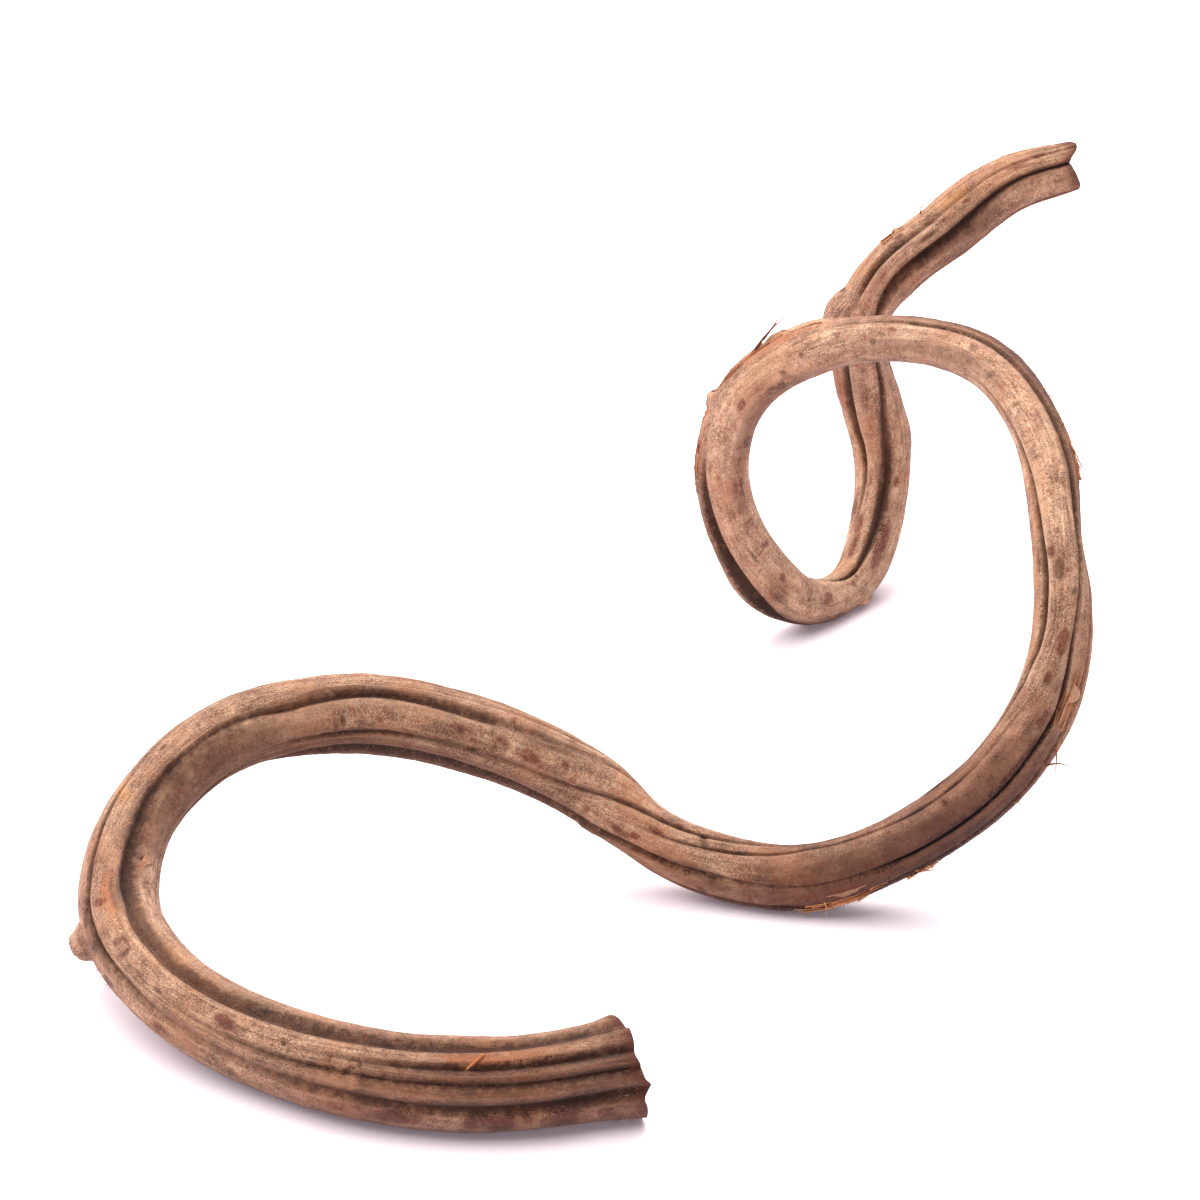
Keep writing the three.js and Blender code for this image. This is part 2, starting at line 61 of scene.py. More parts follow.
# Reach of the section at a length along the stem: right side, left side, front and back.
SECTION = [
    [0, 15, 13.2, 12.4], [6, 14, 12.8, 12.3], [14, 13.5, 12.2, 12.2], [50, 13.3, 11.6, 12],
    [80, 13.4, 11.3, 12], [100, 12.9, 11.1, 11.8], [125, 11.7, 11.3, 11.4],
    [150, 11.8, 11, 11], [180, 12.5, 9.8, 10.8], [205, 11.2, 9.5, 10.4], [228, 9.9, 10.6, 10.2],
    [245, 10.3, 10.8, 10.2], [260, 11.5, 10.7, 10.3], [280, 12, 11.5, 10.4],
    [300, 11.3, 11.6, 10.4], [322, 10.7, 11.7, 10.2], [340, 10.2, 11, 9.9],
    [354, 10.3, 10.2, 9.6], [368, 9.7, 7.9, 9.2], [380, 9.4, 8.6, 9], [395, 9.2, 9.8, 9],
    [412, 8.7, 10.5, 9], [440, 8.4, 9.8, 9], [470, 8.5, 10.1, 8.8], [490, 9.3, 9.6, 8.8],
    [510, 10.5, 8.5, 8.6], [525, 9.8, 8.3, 8.6], [542, 8.3, 8.2, 8.4], [557, 6.4, 8.3, 8],
    [566, 6.7, 8.2, 7.9], [578, 8.1, 7.8, 7.7], [600, 8.3, 7, 7.5], [622, 8.6, 6.5, 7.4],
    [648, 7.8, 6.5, 7.4], [675, 7.9, 6.5, 7.4], [690, 9, 6.6, 7.5], [712, 9.3, 7.2, 7.6],
    [740, 9.1, 7.5, 7.8], [765, 8.8, 8.6, 8], [785, 9.6, 8.8, 8.2], [798, 10.8, 9.1, 8.2],
    [810, 9.9, 9.3, 8], [822, 7.4, 8.9, 7.9], [843, 7.2, 7.2, 7.8], [858, 8, 8.2, 8],
    [872, 8, 9.4, 8.2], [886, 8.2, 10, 8.5], [902, 10.2, 10.5, 8.8], [912, 9.2, 11.6, 8.8],
    [924, 8, 12.2, 8.8], [938, 7.7, 10.6, 8.8], [952, 7.9, 9.8, 8.9], [960, 9, 9.2, 9],
    [970, 10.6, 8.4, 9.1], [990, 10.9, 8.5, 9.1], [1005, 10.3, 9.7, 9], [1020, 9.2, 9.4, 8.7],
    [1039, 8.6, 8.3, 8.3],
]

# The ten furrows, in order round the stem: length along it, angle of the bed, depth,
# then how far its banks stand off the bed on the left and on the right, in degrees.
# Where both are the same, the value is given once.
FURROWS = [
    # Lower front furrow, then the outer crack of the left bend.
    [
        [0, -29, 2.4, 15, 14], [50, -30, 2, 15, 14], [80, -27, 1.6, 15, 14],
        [110, -28, 1, 14, 13], [130, -32, 0.8, 12, 10], [145, -34, 1.1, 11, 9],
        [155, -36, 1.5, 10, 8], [165, -38, 2, 9, 7], [172, -39, 2.3, 9, 7], [184, -42, 2.3, 8, 7],
        [196, -48, 2, 8, 6], [206, -56, 1.3, 7, 6], [218, -66, 0.5, 7], [250, -82, 0.7, 8],
        [310, -100, 1.2, 8], [350, -125, 1.3, 8], [380, -165, 1.3, 8], [411, -190, 1.2, 8],
        [480, -175, 1.4, 8], [560, -170, 1.2, 8], [670, -170, 1.3, 8], [750, -168, 1.2, 8],
        [824, -172, 1, 7], [846, -165, 1.1, 7], [869, -148, 1.2, 8], [893, -130, 1.4, 8],
        [950, -118, 1.2, 8], [1040, -110, 1.4, 8],
    ],
    # Upper front furrow, which fades before the left bend and opens again behind.
    [
        [0, 2, 1.8, 13, 8], [50, 3, 1.6, 12, 8], [80, 1, 1.4, 11, 8], [100, -4, 1.1, 10, 7],
        [120, -9, 0.6, 8, 7], [138, -14, 0.2, 5], [182, -26, 0, 5], [216, -40, 0, 6],
        [250, -58, 0.2, 7], [310, -79, 0.5, 7], [350, -102, 1, 7], [380, -145, 1.2, 7],
        [411, -165, 1.4, 7], [480, -150, 1.3, 7], [560, -146, 1.5, 7], [670, -146, 1.2, 7],
        [750, -144, 1.4, 7], [824, -155, 1.2, 6], [846, -138, 1, 7], [869, -118, 1, 7],
        [893, -100, 1.2, 7], [917, -104, 1.2, 7], [950, -90, 1, 8], [1040, -82, 0.7, 8],
    ],
    # Hollow under the main ridge.
    [
        [0, 27, 2, 15, 9], [50, 25, 1.7, 14, 8], [75, 20, 0.9, 12, 8], [95, 15, 0.3, 8, 6],
        [110, 10, 0, 5], [135, 3, 0, 5], [160, -8, 0, 5], [182, -13, 0, 5], [216, -25, 0, 5],
        [250, -39, 0, 6], [310, -60, 0.4, 6], [350, -79, 0.8, 6], [380, -126, 1, 7],
        [411, -140, 1.1, 7], [480, -127, 1, 7], [560, -124, 1, 7], [670, -124, 1.1, 7],
        [750, -124, 1, 7], [824, -138, 0.9, 6], [846, -111, 0.8, 7], [869, -90, 0.6, 7],
        [893, -78, 0.3, 7], [917, -84, 0.3, 7], [940, -66, 0.1, 7], [962, -54, 0.2, 7],
        [1040, -54, 0.3, 7],
    ],
    # Broad deep furrow behind the main ridge, later the left furrow of the tail.
    [
        [0, 61, 1.8, 11, 18], [25, 56, 2.3, 11, 21], [50, 53, 2.6, 11, 22], [75, 49, 2.9, 11, 23],
        [105, 41, 3.3, 11, 24], [133, 31, 3.5, 11, 25], [160, 26, 3.8, 10, 27],
        [168, 28, 3.9, 10, 26], [173, 27, 4, 9, 25], [178, 22, 4, 9, 24], [184, 15, 4, 9, 24],
        [191, 10, 3.2, 9, 25], [200, 6, 2.3, 10, 27], [211, -5, 1.7, 10, 25],
        [222, -13, 1.3, 10, 21], [232, -17, 1.1, 10, 17], [240, -19, 1.1, 11, 14],
        [251, -17, 1.6, 13, 12], [258, -14, 2, 15, 11], [266, -20, 2.1, 18, 9],
        [274, -26, 2.2, 21, 8], [283, -30, 2.2, 22, 8], [300, -31, 2, 22, 8],
        [312, -30, 1.6, 18, 8], [320, -33, 1, 15, 8], [335, -40, 0.6, 13, 8], [352, -60, 0.8, 8],
        [367, -88, 1.2, 8], [380, -107, 1.3, 8], [411, -115, 1.3, 8], [480, -104, 1.2, 8],
        [560, -101, 1, 8], [670, -101, 1, 8], [750, -105, 1.1, 8], [824, -119, 1, 8],
        [846, -84, 0.6, 7], [869, -58, 0.4, 7], [885, -47, 1.2, 8, 7], [893, -43, 2.2, 10, 6],
        [900, -44, 2.9, 12, 6], [908, -50, 3.2, 13, 7], [917, -53, 3.2, 13, 8],
        [925, -49, 2.9, 12, 8], [932, -42, 2.3, 10, 8], [942, -34, 1.2, 8, 7],
        [952, -27, 0.5, 9, 6], [957, -24, 0.9, 12, 6], [961, -22, 2.2, 15, 5],
        [972, -20, 2.2, 17, 5], [985, -21, 1.3, 16, 5], [1000, -27, 0.7, 13, 6],
        [1010, -32, 0.6, 9, 6], [1020, -36, 0.6, 8, 6], [1040, -38, 0.6, 8, 6],
    ],
    # Second furrow of the arc, inner furrow of the right bend, main furrow of the tail.
    [
        [0, 100, 1.4, 8], [50, 96, 1.2, 8], [105, 90, 0.8, 7], [150, 82, 0.4, 6, 7],
        [182, 70, 0.3, 6, 7], [204, 62, 0.2, 6, 7], [227, 54, 0.1, 6], [245, 47, 0.1, 6],
        [255, 41, 0.4, 6], [265, 38, 0.9, 9, 8], [275, 34, 1.6, 12, 10], [290, 28, 1.5, 12, 10],
        [308, 22, 0.9, 11, 9], [335, 18, 0.8, 9, 8], [345, 12, 1, 9, 8], [351, 4, 1.2, 10, 8],
        [357, -7, 1.4, 10, 8], [363, -17, 1.5, 10, 8], [370, -28, 1.6, 9, 8], [379, -40, 1.6, 8, 7],
        [388, -50, 1.5, 8, 6], [397, -62, 1.2, 8, 6], [410, -78, 1, 7, 6], [430, -84, 1, 7, 6],
        [470, -80, 0.8, 7, 6], [492, -74, 0.8, 8, 5], [505, -64, 1, 9, 5], [513, -55, 1.6, 11, 5],
        [518, -51, 2.1, 12, 5], [523, -43, 2.5, 14, 5], [530, -36, 2.8, 15, 5],
        [540, -33, 3, 15, 5], [549, -33, 3, 15, 5], [558, -39, 2.6, 14, 5],
        [567, -43, 2.3, 12, 5], [585, -47, 1.8, 10, 5], [600, -47, 1.3, 9, 5],
        [614, -46, 0.6, 8, 6], [630, -45, 0.2, 8, 6], [677, -48, 0.1, 8, 6], [750, -58, 0.1, 8, 6],
        [810, -78, 0.3, 8, 6], [828, -76, 0.6, 8, 6], [838, -48, 1.1, 8, 6], [846, -27, 1.9, 9, 8],
        [852, -18, 2.5, 10, 9], [860, -10, 3, 12, 11], [870, -5, 3.2, 15, 17],
        [882, -2, 3.2, 18, 22], [893, 5, 2.8, 18, 22], [905, 8, 2.3, 13, 16],
        [914, 13, 2.1, 11, 12], [921, 21, 2.4, 9, 10], [929, 28, 2.1, 8, 9], [940, 32, 2, 8, 10],
        [953, 26, 2.6, 7, 14], [962, 22, 3, 7, 22], [972, 21, 3.2, 7, 24], [985, 20, 3.3, 7, 24],
        [993, 17, 3.3, 7, 24], [1000, 13, 3.2, 7, 22], [1010, 5, 2.9, 7, 20],
        [1018, -1, 2.4, 7, 16], [1025, -5, 2, 7, 12], [1033, -7, 2, 7, 10],
        [1040, -6, 2.4, 7, 9],
    ],
    # Faint furrow that shows on the top of the stem where it touches the floor midway.
    [
        [0, 118, 0.8, 6], [105, 111, 1, 6], [182, 92, 1, 6], [227, 76, 0.6, 6],
        [250, 61, 0.3, 5], [265, 50, 0.1, 4], [278, 43, 0, 4], [308, 38, 0, 4], [339, 36, 0, 4],
        [351, 28, 0, 5], [363, 12, 0.2, 5], [371, 1, 0.5, 5], [380, -12, 0.8, 6],
        [390, -25, 1.1, 6], [400, -38, 1.1, 6], [411, -51, 1, 6], [422, -61, 1, 6, 5],
        [434, -60, 0.8, 6, 5], [446, -53, 0.8, 6, 5], [457, -48, 0.8, 6, 5], [470, -47, 0.8, 6, 5],
        [484, -46, 0.5, 6, 5], [498, -40, 0.3, 6], [513, -18, 0.1, 6], [537, -2, 0, 6],
        [596, 2, 0, 6], [677, 4, 0, 6], [750, 0, 0, 6], [805, -8, 0.1, 6], [826, -10, 0.2, 6],
        [838, 12, 0.2, 6], [869, 45, 0.1, 6], [893, 56, 0.1, 6], [915, 66, 0.3, 6],
        [940, 82, 0.7, 6], [962, 82, 0.8, 6], [984, 78, 0.6, 6], [1040, 70, 0.8, 6],
    ],
    # Lower furrow of the arc, long crack of the right bend, gutter of the loop.
    [
        [0, 143, 1.4, 8], [105, 135, 1.4, 8], [182, 116, 1.2, 8], [227, 101, 1, 8],
        [245, 92, 1.2, 8], [253, 83, 1.5, 10, 8], [263, 70, 1.9, 11, 15], [278, 60, 2.2, 11, 22],
        [308, 57, 2, 10, 22], [339, 60, 1.9, 10, 19], [354, 62, 1.8, 10, 16],
        [361, 58, 1.8, 11, 14], [367, 50, 2, 12], [375, 40, 1.8, 12], [386, 26, 1.3, 10, 12],
        [395, 17, 1, 8, 11], [411, 11, 0.7, 6, 8], [434, 12, 0.7, 4, 5], [444, 15, 1.2, 4, 5],
        [451, 18, 2.4, 4, 5], [470, 20, 2.8, 4, 5], [484, 21, 2.6, 4, 5], [495, 24, 3, 4, 6],
        [502, 29, 3.4, 6, 7], [509, 33, 3.4, 7, 9], [517, 28, 3, 5, 7], [527, 25, 2.2, 4, 6],
        [534, 29, 1.2, 5, 7], [545, 40, 1.2, 8], [552, 46, 1.6, 10, 9], [558, 48, 1.9, 12, 9],
        [567, 47, 2.2, 12, 10], [579, 50, 2.3, 12, 10], [600, 51, 2.2, 12, 10],
        [625, 51, 2.1, 11, 10], [648, 50, 1.6, 10, 9], [665, 48, 0.8, 9, 8], [685, 46, 0.2, 8],
        [744, 42, 0.1, 8, 9], [754, 43, 0.9, 7, 9], [762, 46, 3.2, 10, 12], [772, 50, 4.8, 15],
        [781, 53, 5.6, 18], [790, 54, 6, 20], [800, 55, 6.1, 21], [808, 57, 5.8, 20, 21],
        [815, 64, 4.8, 19, 18], [822, 75, 3.4, 17, 13], [831, 92, 1.8, 9], [846, 108, 1, 8],
        [869, 110, 1.2, 8], [893, 111, 1.4, 8], [950, 118, 1.4, 8], [1040, 116, 1.6, 8],
    ],
    # Three furrows of the back and the underside.
    [
        [0, 176, 1.6, 9], [105, 164, 1.7, 9], [182, 148, 1.6, 9], [250, 118, 1.4, 9],
        [308, 98, 1.6, 9], [360, 94, 1.5, 9], [395, 71, 1.2, 8], [411, 62, 0.9, 8],
        [450, 60, 0.8, 8], [535, 68, 0.8, 8], [560, 79, 0.9, 7, 8], [600, 84, 1, 7, 8],
        [742, 86, 0.9, 7, 8], [778, 99, 0.9, 6, 8], [801, 110, 0.9, 6, 8], [822, 120, 1, 7, 8],
        [846, 137, 1.2, 8], [893, 143, 1.5, 8], [1040, 150, 1.4, 8],
    ],
    [
        [0, 212, 1.8, 10], [105, 203, 1.5, 10], [182, 186, 1.8, 10], [250, 163, 1.4, 9],
        [308, 143, 1.8, 9], [360, 134, 1.5, 9], [411, 103, 1.5, 9], [484, 103, 1.2, 8],
        [560, 114, 1.5, 8], [670, 118, 1.3, 8], [742, 119, 1.5, 8], [822, 144, 1.2, 7, 8],
        [846, 158, 1.2, 8], [893, 172, 1.5, 8], [1040, 182, 1.3, 8],
    ],
    [
        [0, 268, 1.5, 10], [105, 262, 1.8, 10], [182, 246, 1.5, 10], [250, 223, 1.8, 9],
        [308, 194, 1.5, 9], [360, 172, 1.8, 9], [411, 138, 1.4, 9], [484, 143, 1.7, 9],
        [560, 150, 1.4, 9], [670, 153, 1.7, 9], [742, 154, 1.4, 9], [822, 167, 1.1, 7],
        [846, 178, 1.2, 7], [893, 202, 1.4, 8], [1040, 216, 1.2, 8],
    ],
]

# Buds, knots and lifted bark: length along the stem, angle, height, half length and
# half width in degrees.
LUMPS = [
    [165, -90, 4.5, 3.4, 18], # bud on the outside of the left bend
    [949, -80, 3.6, 7.5, 30], # knot where the tail leaves the loop
    [952, -40, 1.5, 6, 22], # its foot, which closes the furrow beside it
    [703, 86, 1.2, 3.2, 16], # torn edge on top of the loop
    [692, 80, 1, 8, 18], # peel behind it
    [731, 84, 1.7, 2.4, 16], # torn scale on the loop's left side
    [847, 84, 0.9, 2.8, 16], # scale at the bottom of the loop
    [356, 82, 0.5, 3.4, 14], # ragged lower edge before the middle contact
    [427, 70, 0.7, 9, 20], # peel under the middle contact
]

# How far the edge of each cut end stands forward, by angle round the stem.
THICK_CUT = [
    [-90, 3.4], [-58, 3.2], [-40, 2.4], [-27, 4.6], [-12, 2.6], [5, 2], [16, 1],
    [34, 1.2], [62, 0.4], [90, -2.6], [135, -1.5], [180, -0.5], [225, 1.4], [270, 3.4],
]

THIN_CUT = [
    [-90, -3], [-74, -1.6], [-58, 3.4], [-32, 3.6], [-8, 0.2], [20, 0.8],
    [60, 1.8], [90, 1.4], [150, 0.2], [200, -1], [240, -2], [270, -3],
]

# Relief and finish of the bark: heights, and sizes along and across the fibres.
GRAIN_RADIUS = 9.0
LUMP_HEIGHT = 0.28
LUMP_SIZE = [24, 7, 7]
RIDGE_HEIGHT = 0.13
RIDGE_SIZE = [16, 1.9, 1.9]
WRINKLE_HEIGHT = 0.08
WRINKLE_SIZE = [3.2, 4.5, 4.5]

# Depth at which a furrow's painted shade is full, how soon a sharp rib gets its paler crest of wear
# and painted highlight, depth of a nick, steepness of a crease, and how far from the middle line to
# the front the marks begin.
SHADE_DEPTH = 2.2
WORN_AND_LIT_EDGE = 2.4
NICK_DEPTH = 0.9
CREASE_POWER = 1.8
BACK_OF_MARKS = -1

# The cut ends: rings of the torn face, as shares of the rim's reach.
CUT_SHARES = [0.97, 0.93, 0.87, 0.78, 0.66, 0.52, 0.37, 0.2]
CUT_ROUGHNESS = 0.35
CUT_GRAIN = 1.4
CUT_RIM_SINK = 1.2

# Fibres, strands, fuzz and flakes: sizes in millimetres, turns in degrees, and the rest
# are shares or directions.
BARK_REACH = 8
THREAD_SKEW = [0.3, 0.5, 0.81]
THREAD_TAPER = 0.75
STRAND_POINTS = 6
STRAND_LENGTHS = (5, 15)
STRAND_TWIST = 5
STRAND_WOBBLE = 0.8
STRAND_THICKNESS = (0.35, 0.75)
STRAND_STAND = 0.1
FUZZ_COUNT = 2600
FUZZ_THICKNESS = 0.12
FUZZ_LENGTHS = (0.7, 1.6)
FUZZ_LEAN = (0.6, 1.8)
FUZZ_SIDEWAYS = 0.8
FUZZ_ROOT = 0.3
FUZZ_BEND = 0.15
FUZZ_SKEW = [0.2, 0.4, 0.89]
CLEAR_OF_CUTS = 4
FRAYED_LONGER = 1.8
FLAKE_COLUMNS = 6
FLAKE_THICKNESS = 0.2
FLAKE_STEP = 0.5
FLAKE_RAGGED = 1.3
FLAKE_ROOT = 0.25
FLAKE_TAPER = 0.12
FEWEST_STEPS = 8
EDGE_MIDDLE = 0.85
EDGE_RANGE = 0.3

# Lattice noise: how many random values, and the keys that pick one for each cell.
NOISE_VALUES = 4096
NOISE_KEYS = (73856093, 19349663, 83492791)

# Marks on the front of the bark, by kind: length along the stem, distance right of the
# middle line, half length, half width, strength.
PATCHES = {
    "red": [
        (7.5, -10.3, 2, 1.3, 1), (19, -9.7, 5, 1.9, 1.15), (27.5, -8.6, 1.6, 1.2, 0.9),
        (34.5, -9.1, 4.4, 1.9, 1.15), (42, -9.2, 2.4, 1.5, 0.9), (61, -9, 6.5, 1.3, 1.05),
        (77, -8.8, 4, 0.8, 0.9), (22, 6.4, 12, 0.8, 0.5), (115.6, 1.6, 3, 1.5, 1.3),
        (131, -9.8, 3, 1, 0.8), (149, 1, 1, 1.4, 0.6), (156.5, -2.3, 1, 2.2, 0.9),
        (161.5, -1.6, 1.2, 1.8, 0.7), (160, 0.2, 2.4, 0.6, 0.7), (152, -10.4, 2.2, 0.8, 0.9),
        (177, -3.2, 1, 1.9, 1), (309, -1, 3.4, 1.6, 0.75), (321, -1, 2.6, 1.6, 0.6),
        (330, -0.4, 3.2, 1.6, 0.75), (272, 3, 1.2, 2, 0.6), (340, -2.6, 1.4, 1, 0.6),
        (352, 5.6, 1.4, 1.6, 0.5), (373, -1, 3, 0.9, 0.7), (368.5, 3.6, 2, 0.9, 0.8),
        (364.5, 5.2, 3, 0.8, 0.95), (378, -6, 3, 0.6, 0.5), (464, 2.9, 40, 0.5, 1.1),
        (500, 2, 20, 0.5, 0.9), (467.6, -5, 1.2, 1.4, 0.7), (470, -9.5, 9, 0.7, 0.5),
        (516, -0.8, 2.6, 1.1, 0.8), (527.5, 1.2, 3.4, 1.5, 1.1), (554, -2.9, 2, 1.1, 1),
        (560, -0.9, 0.8, 1.1, 0.8), (664.5, 3.2, 2.2, 0.8, 0.6), (698, 0.8, 1, 1.1, 0.8),
        (728.5, -0.2, 2.4, 1.1, 0.8), (762, -5.2, 5, 1.4, 0.75), (790.5, -6.2, 1.2, 1.5, 0.95),
        (811, -3.1, 1.6, 0.8, 1), (807, -3.8, 1.6, 0.8, 0.7), (835.5, -1.2, 2.2, 1.2, 1.3),
        (849, -0.4, 0.8, 1.2, 1), (851.6, -1, 0.8, 0.9, 0.9), (862, -5.6, 6, 1, 0.9),
        (870, -6.2, 4, 1.2, 0.9), (866, 2.8, 8, 1.6, 1), (887, 3.8, 1.6, 1.3, 0.9),
        (875.5, -8.8, 5, 0.8, 0.8), (981, -7.2, 1.4, 1.9, 1.1), (1024, -4.8, 3, 1.2, 0.6),
        (1006, -2.6, 1.6, 0.6, 0.7), (996, -2, 1.2, 0.5, 0.7), (1031, -5.6, 3, 0.8, 0.6),
        (964, 3, 1.6, 0.6, 0.8), (452, 7.4, 46, 3, 0.4), (614, 8, 44, 0.8, 0.9),
    ],
    "bare": [
        (36, 7.2, 16, 1.6, 0.9), (180, -1.6, 6, 2, 1.1), (172, 0.6, 3, 1.4, 0.7),
        (188.5, 7, 3.4, 1.1, 0.9), (425, 6.2, 15, 1.9, 1.1), (513.5, 7, 2, 1.4, 0.9),
        (540, -7.4, 22, 0.8, 0.6), (706, 7.9, 18, 0.8, 1.2), (750, 7.8, 12, 0.8, 0.9),
        (924, -10.3, 9, 1.2, 1.2), (976, 8.6, 4, 1, 0.7),
    ],
    "stain": [
        (71.5, -8.4, 1, 0.8, 0.8), (107, 4.6, 0.8, 0.9, 0.5), (139, -1.9, 1.6, 0.6, 0.9),
        (147.5, -2.3, 1.3, 0.6, 0.7), (174, -8.2, 3, 0.8, 0.9), (164, -8.6, 2.4, 1.2, 0.7),
        (284.5, 1, 0.8, 1.4, 0.6), (322, -7.4, 1, 1.8, 0.8), (313, 3.7, 1.4, 0.7, 0.8),
        (386, 4.9, 1.2, 0.8, 0.8), (393.5, 4.2, 1.2, 1.4, 0.95), (391.5, 7.9, 1.1, 0.7, 0.9),
        (459, -7, 5, 0.5, 1), (473, -6.9, 4, 0.5, 0.9), (481, -3.4, 1.2, 0.9, 0.7),
        (488, -3.4, 1.4, 0.9, 0.7), (542, 3.4, 1.4, 0.7, 0.7), (548.5, -0.8, 3, 1.5, 0.85),
        (585, -2.6, 0.8, 1.3, 0.6), (606, -1.2, 0.9, 2, 0.6), (620, -1.4, 3.4, 2, 0.6),
        (633, 2.7, 2.2, 0.8, 0.6), (671, -0.4, 1.2, 1, 0.8), (712, -4.6, 9, 1.6, 0.5),
        (707, -2.2, 1.4, 0.9, 0.8), (741.5, -6.2, 3, 0.8, 0.8), (779, -4.2, 2.2, 1.2, 0.7),
        (824.5, -2.8, 1, 0.7, 1), (940, 3, 1.2, 1.2, 0.5), (989, -0.4, 3.4, 0.7, 0.8),
        (957.5, -9.6, 1, 0.8, 0.7), (980, 4.2, 2, 1.2, 0.6), (1002, 4.4, 3, 2.2, 0.5),
        (796, 7.6, 44, 2.2, 0.9),
    ],
    "pale": [
        (208.5, -6.4, 1.8, 2.3, 1.2), (391.5, -7.3, 3.6, 0.7, 0.5), (1003, -5.8, 7, 2.2, 0.9),
        (966, -8.2, 10, 1.2, 0.6),
    ],
    # Marks of pale skin left by wear, in part painted highlight on the ridges.
    "worn_and_lit": [
        (90, 4.4, 12, 1.6, 0.9), (120, -2, 6, 1.6, 0.7), (14, 8.4, 16, 0.9, 0.9),
        (268, 3.4, 10, 2.2, 0.9), (148, 2.6, 14, 1, 0.9), (205, -4.4, 8, 1.6, 0.7),
        (258, 1.6, 5, 1.8, 0.9), (360, 2.4, 8, 2, 0.8), (888, -3.4, 14, 1.2, 0.9),
        (728, 3.4, 22, 3, 1), (776, 2.2, 26, 0.8, 0.9), (985, -4, 20, 1.2, 0.7),
    ],
    # Dim patches: painted shade on sides of the stem that the light reaches less, in part darker
    # bark.
    "dim": [
        (20, 2.4, 42, 3.4, 1.2), (20, -5.4, 46, 2.4, 1), (30, -1.6, 40, 1.4, 0.8),
        (0, 0, 9, 12, 0.8), (66, -1, 34, 2, 0.5), (60, 10, 60, 1.6, 0.7),
        (166, -7.4, 16, 1.8, 0.8), (182, 3, 10, 2.4, 1), (225, 3.6, 34, 7, 0.8),
        (295, -6.4, 30, 1.8, 0.8), (268, 8, 14, 4, 0.6), (300, 9.4, 60, 2.6, 1),
        (330, -6.4, 14, 2.2, 0.6), (388, 4.8, 12, 2.8, 0.9), (458, 0.4, 42, 2.6, 1),
        (440, -2.4, 30, 2, 0.8), (455, 5.6, 46, 4, 1.3), (450, 8.4, 40, 2.6, 1.2),
        (484, -3.4, 9, 2.2, 0.6), (620, 7.2, 56, 1.9, 1.2), (575, 6.4, 20, 1.8, 1),
        (731, -5.4, 34, 2, 0.9), (765, -4.4, 10, 2.2, 0.7), (811, 1.4, 4.4, 2.6, 0.9),
        (645, -1.5, 30, 2.4, 0.5), (880, 0.4, 17, 2.6, 0.6), (990, 4.6, 22, 2.2, 0.8),
        (1003, 4.6, 8, 3.4, 0.8),
    ],
    "nick": [
        (73, 3, 0.8, 0.8, 0.9), (74.2, 2, 0.8, 0.8, 1), (75.6, 1, 0.8, 0.8, 1),
        (76.8, 0.3, 0.8, 0.6, 0.8), (80.5, 0.8, 1.4, 0.6, 0.8), (81.8, 2.6, 0.7, 1.2, 0.7),
        (94.5, 2, 0.7, 1, 0.6), (96.2, 3.2, 0.8, 0.9, 0.9), (105.6, 10, 1.4, 0.8, 0.9),
        (191.4, 6.6, 1, 1.2, 1.1), (224, -8, 0.8, 0.6, 0.8), (235, -7.5, 0.7, 1, 0.6),
        (241, -1.2, 0.8, 1.4, 0.7), (274, 2.4, 0.8, 1.8, 1), (386.6, -5.6, 1, 1, 1),
        (387.6, -4.6, 1, 1, 1),
    ],
}

# How much light the bark gives back, by length along the stem: in part weathering, in part painted
# shade that darkens the parts lying low near the floor.
WEATHER_AND_SHADE = [
    [0, 0.68], [60, 0.74], [110, 0.83], [150, 0.9], [210, 0.86], [250, 0.84], [330, 0.87],
    [365, 0.95], [395, 0.76], [415, 0.52], [450, 0.45], [480, 0.48], [505, 0.74], [540, 0.92],
    [600, 0.92], [640, 0.82], [690, 0.9], [760, 0.94], [800, 0.9], [845, 0.84], [900, 0.92],
    [960, 0.88], [1039, 0.9],
]

